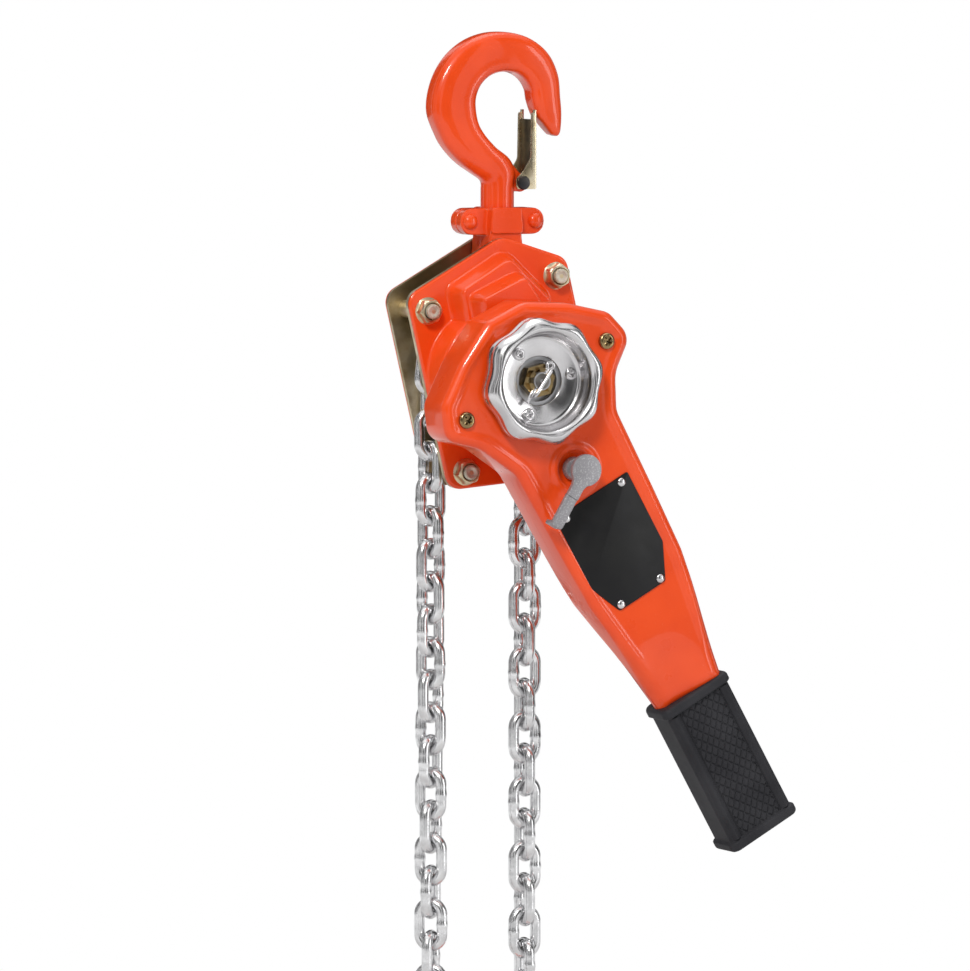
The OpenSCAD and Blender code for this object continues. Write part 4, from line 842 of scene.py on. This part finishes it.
for end, place in hookEnds:
    for side in ("front", "rear"):
        node = f"{end}_yoke_{side}"
        piece(f"{end}Yoke{side.capitalize()}", nodeShape(node, place), place, "yoke_" + end,
              "forged_orange", (node,), soft=(0.5, 4))


def domeShape(x, z, side, base, radius, height):  # a rivet head, its seat at base
    rows = [(radius * cos(t), base + side * height * sin(t))
            for t in np.linspace(0, pi / 2 * 0.98, 12)]
    seat = [(0.01, base - side * 0.6), (radius, base - side * 0.6)]
    return lathe(seat + rows + [(0.01, base + side * height)], 40, (x, z))


yokeRivet = {"span": 20, "drop": 65.05, "seat": 7, "radius": 4.4, "height": 3.1}
yokeHeads = joined(*[domeShape(x, -yokeRivet["drop"], side, side * yokeRivet["seat"], yokeRivet["radius"],
                               yokeRivet["height"])
                     for x in (-yokeRivet["span"], yokeRivet["span"]) for side in (-1, 1)])
piece("yokeRivetsTop", yokeHeads, atTopHook, "yoke_top", "forged_orange", ("top_yoke_rivets",), 40)
print("yokes eased")


# The hanging chain
chain = {"wire": 6, "pitch": 18.2, "width": 19.4, "play": 0.2, "weld": 0.32, "links": 17,
         "freeTurn": 100, "freeTwist": 2.4}


def linkShape():  # one link on Z in the XZ plane, with a weld on one long side
    r, bend = chain["wire"] / 2, (chain["width"] - chain["wire"]) / 2
    straight = chain["pitch"] + chain["play"] + 2 * chain["wire"] - chain["width"]
    path = []
    for side in (1, -1):
        path += [(side * bend * cos(t), 0, side * (straight / 2 + bend * sin(t)))
                 for t in np.linspace(0, pi, 17)]
        path += [(-side * bend, 0, side * straight / 2 * (1 - 2 * t)) for t in np.linspace(0.125, 0.875, 7)]
    rings, count = [], len(path)
    for i, p in enumerate(path):
        along = (Vector(path[(i + 1) % count]) - Vector(path[i - 1])).normalized()
        other = Vector((0, 1, 0)).cross(along)
        near = exp(-(p[2] / 1.3) ** 2) if p[0] > 0 and abs(p[0] - bend) < 0.01 else 0
        size = r + chain["weld"] * near
        rings.append([tuple(Vector(p) + size * (cos(a) * other + Vector((0, sin(a), 0))))
                      for a in turns(18)])
    return loft(rings + [rings[0]], False, False)


oneLink = linkShape()


def strandShape(top, turn, twist):  # links hanging from a contact point
    links = []
    for k in range(chain["links"]):
        spin = Matrix.Rotation(radians(turn + 90 * k + twist * k), 4, "Z")
        spot = top + Vector((0, 0, -chain["pitch"] * (k + 0.5)))
        links.append(moved(oneLink, Matrix.Translation(spot) @ spin))
    return joined(*links)


def strandTop(joint, lift):  # the contact point at the top of a strand, in millimetres from the shaft
    return (jointAt[joint] - shaft) * 1000 + Vector((0, 0, lift))


loadTop = strandTop("load_strand_swing", -chain["wire"] / 2 - chain["play"] / 2)
freeTop = strandTop("free_strand_swing", chain["wire"] / 2 + chain["play"] / 2)
freeStrand = strandShape(freeTop, chain["freeTurn"], chain["freeTwist"])
piece("loadChain", strandShape(loadTop, 0, 0), atShaft, "load_strand", "chain_zinc", ("load_chain",), 50)
piece("freeChain", freeStrand, atShaft, "free_strand", "chain_zinc", ("free_chain",), 50)
print("chain linked")


# The handwheel with its screws, and what shows in its middle
wheel = {"lobes": 8, "wave": 2.6, "turn": 12, "hole": 13.5, "sides": 240}


def wheelShape():
    front, back = level("handwheel", 0), level("handwheel", 1)
    rows = [  # radius, level and share of the wave
        (wheel["hole"], back - 0.1, 0), (wheel["hole"], back - 1.6, 0), (wheel["hole"] + 0.3, back - 1.9, 0),
        (22.4, back - 1.9, 0), (24.0, back - 2.4, 0), (25.0, back - 3.6, 0), (25.7, back - 6.2, 0),
        (26.3, front + 3.6, 0), (26.7, front + 2.4, 0), (27.4, front + 1.3, 0.05), (28.4, front + 0.5, 0.1),
        (29.4, front + 0.1, 0.25), (30.2, front, 0.4), (31.2, front + 0.15, 0.55), (32.3, front + 0.6, 0.7),
        (33.3, front + 1.4, 0.85), (34.2, front + 2.5, 0.95), (34.9, front + 3.7, 1), (35.4, front + 4.9, 1),
        (35.5, front + 6.0, 1), (35.1, front + 7.0, 1), (34.6, front + 7.8, 1), (34.6, front + 9.0, 1),
        (35.0, front + 9.9, 1), (35.4, front + 10.8, 1), (35.4, back - 2.2, 1), (34.9, back - 1.0, 1),
        (34.0, back - 0.2, 1), (33.0, back, 1), (32.6, back - 0.3, 1), (32.6, front + 7, 1),
        (31.8, front + 3.6, 0.9), (29.8, front + 2.2, 0.5), (28.4, front + 3.2, 0.1), (27.6, back - 6, 0),
        (26.8, back - 3, 0), (25.4, back - 0.8, 0), (24.4, back - 0.2, 0)]
    rings = []
    for radius, y, share in rows:
        ring = []
        for a in turns(wheel["sides"]):
            swing = cos(wheel["lobes"] * (a - radians(wheel["turn"])))
            r = radius - share * wheel["wave"] * (1 - swing) / 2
            ring.append((r * cos(a), y, r * sin(a)))
        rings.append(ring)
    return loft(rings + [rings[0]], False, False)


piece("handwheelRim", wheelShape(), atShaft, "wheel", "bright_chrome", ("handwheel",), 50)


def crossHead(x, z, base, radius, height):  # a pan head with a cross recess
    rows = []
    profile = [(0.97, 0), (1, 0.3), (0.95, 0.68), (0.85, 0.88), (0.7, 0.98), (0.62, 1), (0.58, 1), (0.56, 1),
               (0.48, 1), (0.38, 1), (0.3, 1), (0.24, 1), (0.16, 1), (0.02, 1)]
    for share, up in profile:
        ring = []
        for a in turns(72):
            u, v = share * abs(cos(a)), share * abs(sin(a))
            deep = 0.85 * (1 - share * 0.6) if min(u, v) < 0.17 and share < 0.57 else 0
            ring.append((x + radius * share * cos(a + 0.4), base - height * (up - deep),
                         z + radius * share * sin(a + 0.4)))
        rows.append(ring)
    return loft(rows, False, True)


def screwShape(x, z, base, radius, height, back):  # the head on a plain shank
    shank = lathe([(0.01, base + 0.1), (radius * 0.55, base + 0.1), (radius * 0.55, back), (0.01, back)], 28,
                  (x, z))
    return joined(crossHead(x, z, base, radius, height), shank)


screw = {"angles": (10, 130, 250), "away": 19.3, "wheelHead": 3.4, "wheelHigh": 2.0, "leverHead": 4.7,
         "leverHigh": 2.6}
wheelScrews = joined(*[
    screwShape(screw["away"] * cos(radians(a)), screw["away"] * sin(radians(a)),
               level("handwheel_screws", 0) + 2, screw["wheelHead"], screw["wheelHigh"],
               level("handwheel_screws", 1)) for a in screw["angles"]])
piece("handwheelScrewHeads", wheelScrews, atShaft, "wheel", "bright_chrome", ("handwheel_screws",), 30)
leverScrews = joined(*[
    screwShape(side * lever["screwAt"] * turnCos, -side * lever["screwAt"] * turnSin, leverFront - 0.02,
               screw["leverHead"], screw["leverHigh"], level("lever_screws", 1)) for side in (-1, 1)])
piece("leverScrewHeads", leverScrews, atLever, "lever", "yellow_zinc", ("lever_screws",), 30,
      finish="nut_zinc")


splitPin = {"turn": 35, "wire": 1.1, "apart": 0.62, "eye": 9.9, "eyeRound": 2.1}


def splitPinShape():  # one leg is bent back over the end of the shaft
    y, end = (level("split_pin", 0) + level("split_pin", 1)) / 2, level("drive_shaft", 0)
    turn = radians(splitPin["turn"])
    way, sideways = Vector((sin(turn), 0, cos(turn))), Vector((cos(turn), 0, -sin(turn)))
    bent = [(-8, y), (-9.6, y - 0.8), (-9.6, end - 0.6), (-8, end - 1.5), (0, end - 1.6), (5, end - 1.5),
            (7.4, end - 1.2)]  # along the pin, and level
    straight = [(-7.5, y), (-9.5, y), (-12, y - 0.6), (-14.5, y - 1.4)]
    legs = []
    for side, tail in ((1, bent), (-1, straight)):
        path = [Vector((0, y, 0)) + way * (splitPin["eye"] + splitPin["eyeRound"] * sin(a))
                + sideways * side * 2.0 * cos(a) for a in np.linspace(1.5, 0, 7)]
        path += [way * t + Vector((0, at, 0)) + sideways * side * splitPin["apart"]
                 for t, at in [(7.6, y), (5, y), (0, y), (-5, y)] + tail]
        legs.append(tubeAlong(evenly([tuple(p) for p in path], 70, False), splitPin["wire"]))
    return joined(*legs)


piece("splitPinWire", splitPinShape(), atShaft, "shaft", "bright_chrome", ("split_pin",), 50)


def shaftEndShape():  # the threaded end, chamfered and centre drilled
    end = level("drive_shaft", 0)
    rows = [(4.6, 2.6), (5.05, 2.3), (4.6, 2.0), (5.05, 1.7), (4.6, 1.4), (5.05, 1.1), (4.6, 0.8),
            (4.7, 0.5), (4.0, -0.25), (1.5, -0.3), (1.1, 0.1), (0.02, 0.9)]
    return lathe([(0.02, end + 2.8)] + [(r, end + y) for r, y in rows], 48)


piece("shaftThreadEnd", shaftEndShape(), atShaft, "shaft", "plain_steel", (), 30, finish="dark_steel")
print("handwheel fitted")


# Nuts and stud ends of the stays
nut = {"flats": 12.2, "flange": 8.0, "flangeHigh": 1.1, "high": 7, "bore": 4.3, "turn": 8, "stud": 4.1}
stays = [(-29.4, 44.3), (50.8, 43.8), (48.5, -46.5), (-27.6, -48)]


def hexNutShape(x, z, base, side, seed):  # its seat at base, growing along side
    half, bore, flange = nut["flats"] / 2, nut["bore"], nut["flange"]
    low, high, rows = nut["flangeHigh"], nut["high"], []
    corner = half / cos(pi / 6)
    profile = [  # radius, level and share of the hexagon
        (bore, 0, 0), (flange - 0.3, 0, 0), (flange, 0.3, 0), (flange - 0.15, 0.7, 0),
        (corner + 0.15, low, 0.5), (corner, low + 0.25, 1), (corner, high - 1.7, 1),
        (corner - 0.45, high - 1.15, 1), (corner - 1.1, high - 0.65, 0.8), (half - 0.3, high - 0.25, 0.25),
        (half - 1.0, high, 0), (bore + 0.9, high, 0), (bore + 0.1, high - 0.7, 0), (bore, 0.4, 0)]
    for radius, up, share in profile:
        ring = []
        for a in turns(96):
            flat = half / cos((a + radians(nut["turn"] + 37 * seed)) % (pi / 3) - pi / 6)
            r = min(radius, flat) if share == 1 else radius * (1 - share) + min(radius, flat) * share
            ring.append((x + r * cos(a), base + side * up, z + r * sin(a)))
        rows.append(ring)
    return loft(rows + [rows[0]], False, False)


def studEndShape(x, z, end, side):
    radius = nut["stud"]
    rows = [(radius, -2.5), (radius, -0.9), (radius - 0.25, -0.5), (radius - 0.3, -0.2), (radius - 0.9, 0.05),
            (radius - 1.3, 0.05), (radius - 1.7, -0.15), (0.02, -0.25)]
    return lathe([(0.02, end - side * 2.5)] + [(r, end + side * up) for r, up in rows], 48, (x, z))


for name, seat, side in (("front", level("front_nuts", 1), -1), ("rear", level("rear_nuts", 0), 1)):
    spots = stays if side < 0 else stays[:3]
    shapes = [hexNutShape(x, z, seat, side, k) for k, (x, z) in enumerate(spots)]
    piece(name + "HexNuts", joined(*shapes), atBody, "frame", "yellow_zinc", (name + "_nuts",), 28)
    end = level("stay_bolts", 0 if side < 0 else 1)
    ends = [studEndShape(x, z, end + side * 0.2, side) for x, z in spots]
    piece(name + "StudEnds", joined(*ends), atBody, "frame", "yellow_zinc", (), 30, finish="bright_stud")
print("nuts fitted")


# Label plate and selector
label = {"x": -2.2, "top": -72, "foot": -136.8, "half": 25.3, "cut": 20, "footHalf": 16, "proud": 0.85,
         "rivet": 2.5, "rivetHigh": 1.3}
labelRight = [(label["half"], label["top"], 1), (label["half"], label["foot"] + label["cut"], 2),
              (label["footHalf"], label["foot"], 2)]
labelLeft = [(-x, z, r) for x, z, r in reversed(labelRight)]
labelLine = [(x + label["x"], z) for x, z in rounded(labelRight + labelLeft, 5)]
labelFace = leverFront - label["proud"]
piece("labelPlate", slab(labelLine, labelFace, leverFront + 0.3, 0.3), atLever, "lever", "label_black",
      ("label_plate",), 35)
rivetSpots = [(label["x"] + side * x, z) for side in (-1, 1)
              for x, z in ((19.3, label["top"] - 3.2), (13.8, label["foot"] + 2.9))]
labelHeads = joined(*[domeShape(x, z, -1, labelFace, label["rivet"], label["rivetHigh"])
                      for x, z in rivetSpots])
piece("labelRivets", labelHeads, atLever, "lever", "bright_chrome", ("label_rivets",), 40)

selector = {"cap": 8.8, "arm": 7.2, "step": 17, "length": 35.5, "turn": 60, "sheet": 3}


def selectorShape():
    top = level("selector_knob", 0)
    half, reach, cap, foot = selector["arm"] / 2, selector["step"], selector["cap"], -selector["length"]
    start = asin(half / cap)
    disc = [(cap * sin(t), -cap * cos(t))
            for t in np.linspace(start + 0.14, 2 * pi - start - 0.14, 60)]
    neck = [(-half - 0.6, -cap * 0.98), (-half, -cap - 1.6), (-half, -reach), (half, -reach),
            (half, -cap - 1.6), (half + 0.6, -cap * 0.98)]
    blade = slab(disc + neck, top, top + selector["sheet"], 0.45)
    outer = rounded([(-half, -reach + 0.6, 0.3), (half, -reach + 0.6, 0.3), (half, foot, 1.6),
                     (-half, foot, 1.6)], 5)
    tab = rounded([(-half, foot + 2.4, 0.3), (half, foot + 2.4, 0.3), (half, foot, 0.6),
                   (-half, foot, 0.6)], 3)
    stem = lathe([(0.02, top + 1), (4, top + 1), (4, leverFront + 4), (0.02, leverFront + 4)], 40)
    flare = lathe([(0.02, leverFront - 1), (5.6, leverFront - 1), (6.5, leverFront + 0.4),
                   (6.5, leverFront + 2.6), (0.02, leverFront + 2.6)], 48)
    return joined(blade, slab(outer, top + 0.9, top + 0.9 + selector["sheet"] * 0.9, 0.45),
                  slab(tab, top + 1.6, top + 9.6, 0.5), stem, flare)


selectorPlace = (atLever @ Matrix.Translation((selectorSpot[0], 0, selectorSpot[1]))
                 @ Matrix.Rotation(radians(selector["turn"]), 4, "Y"))
piece("selectorLever", selectorShape(), selectorPlace, "selector", "grey_casting", ("selector_knob",), 35)
print("label and selector set")
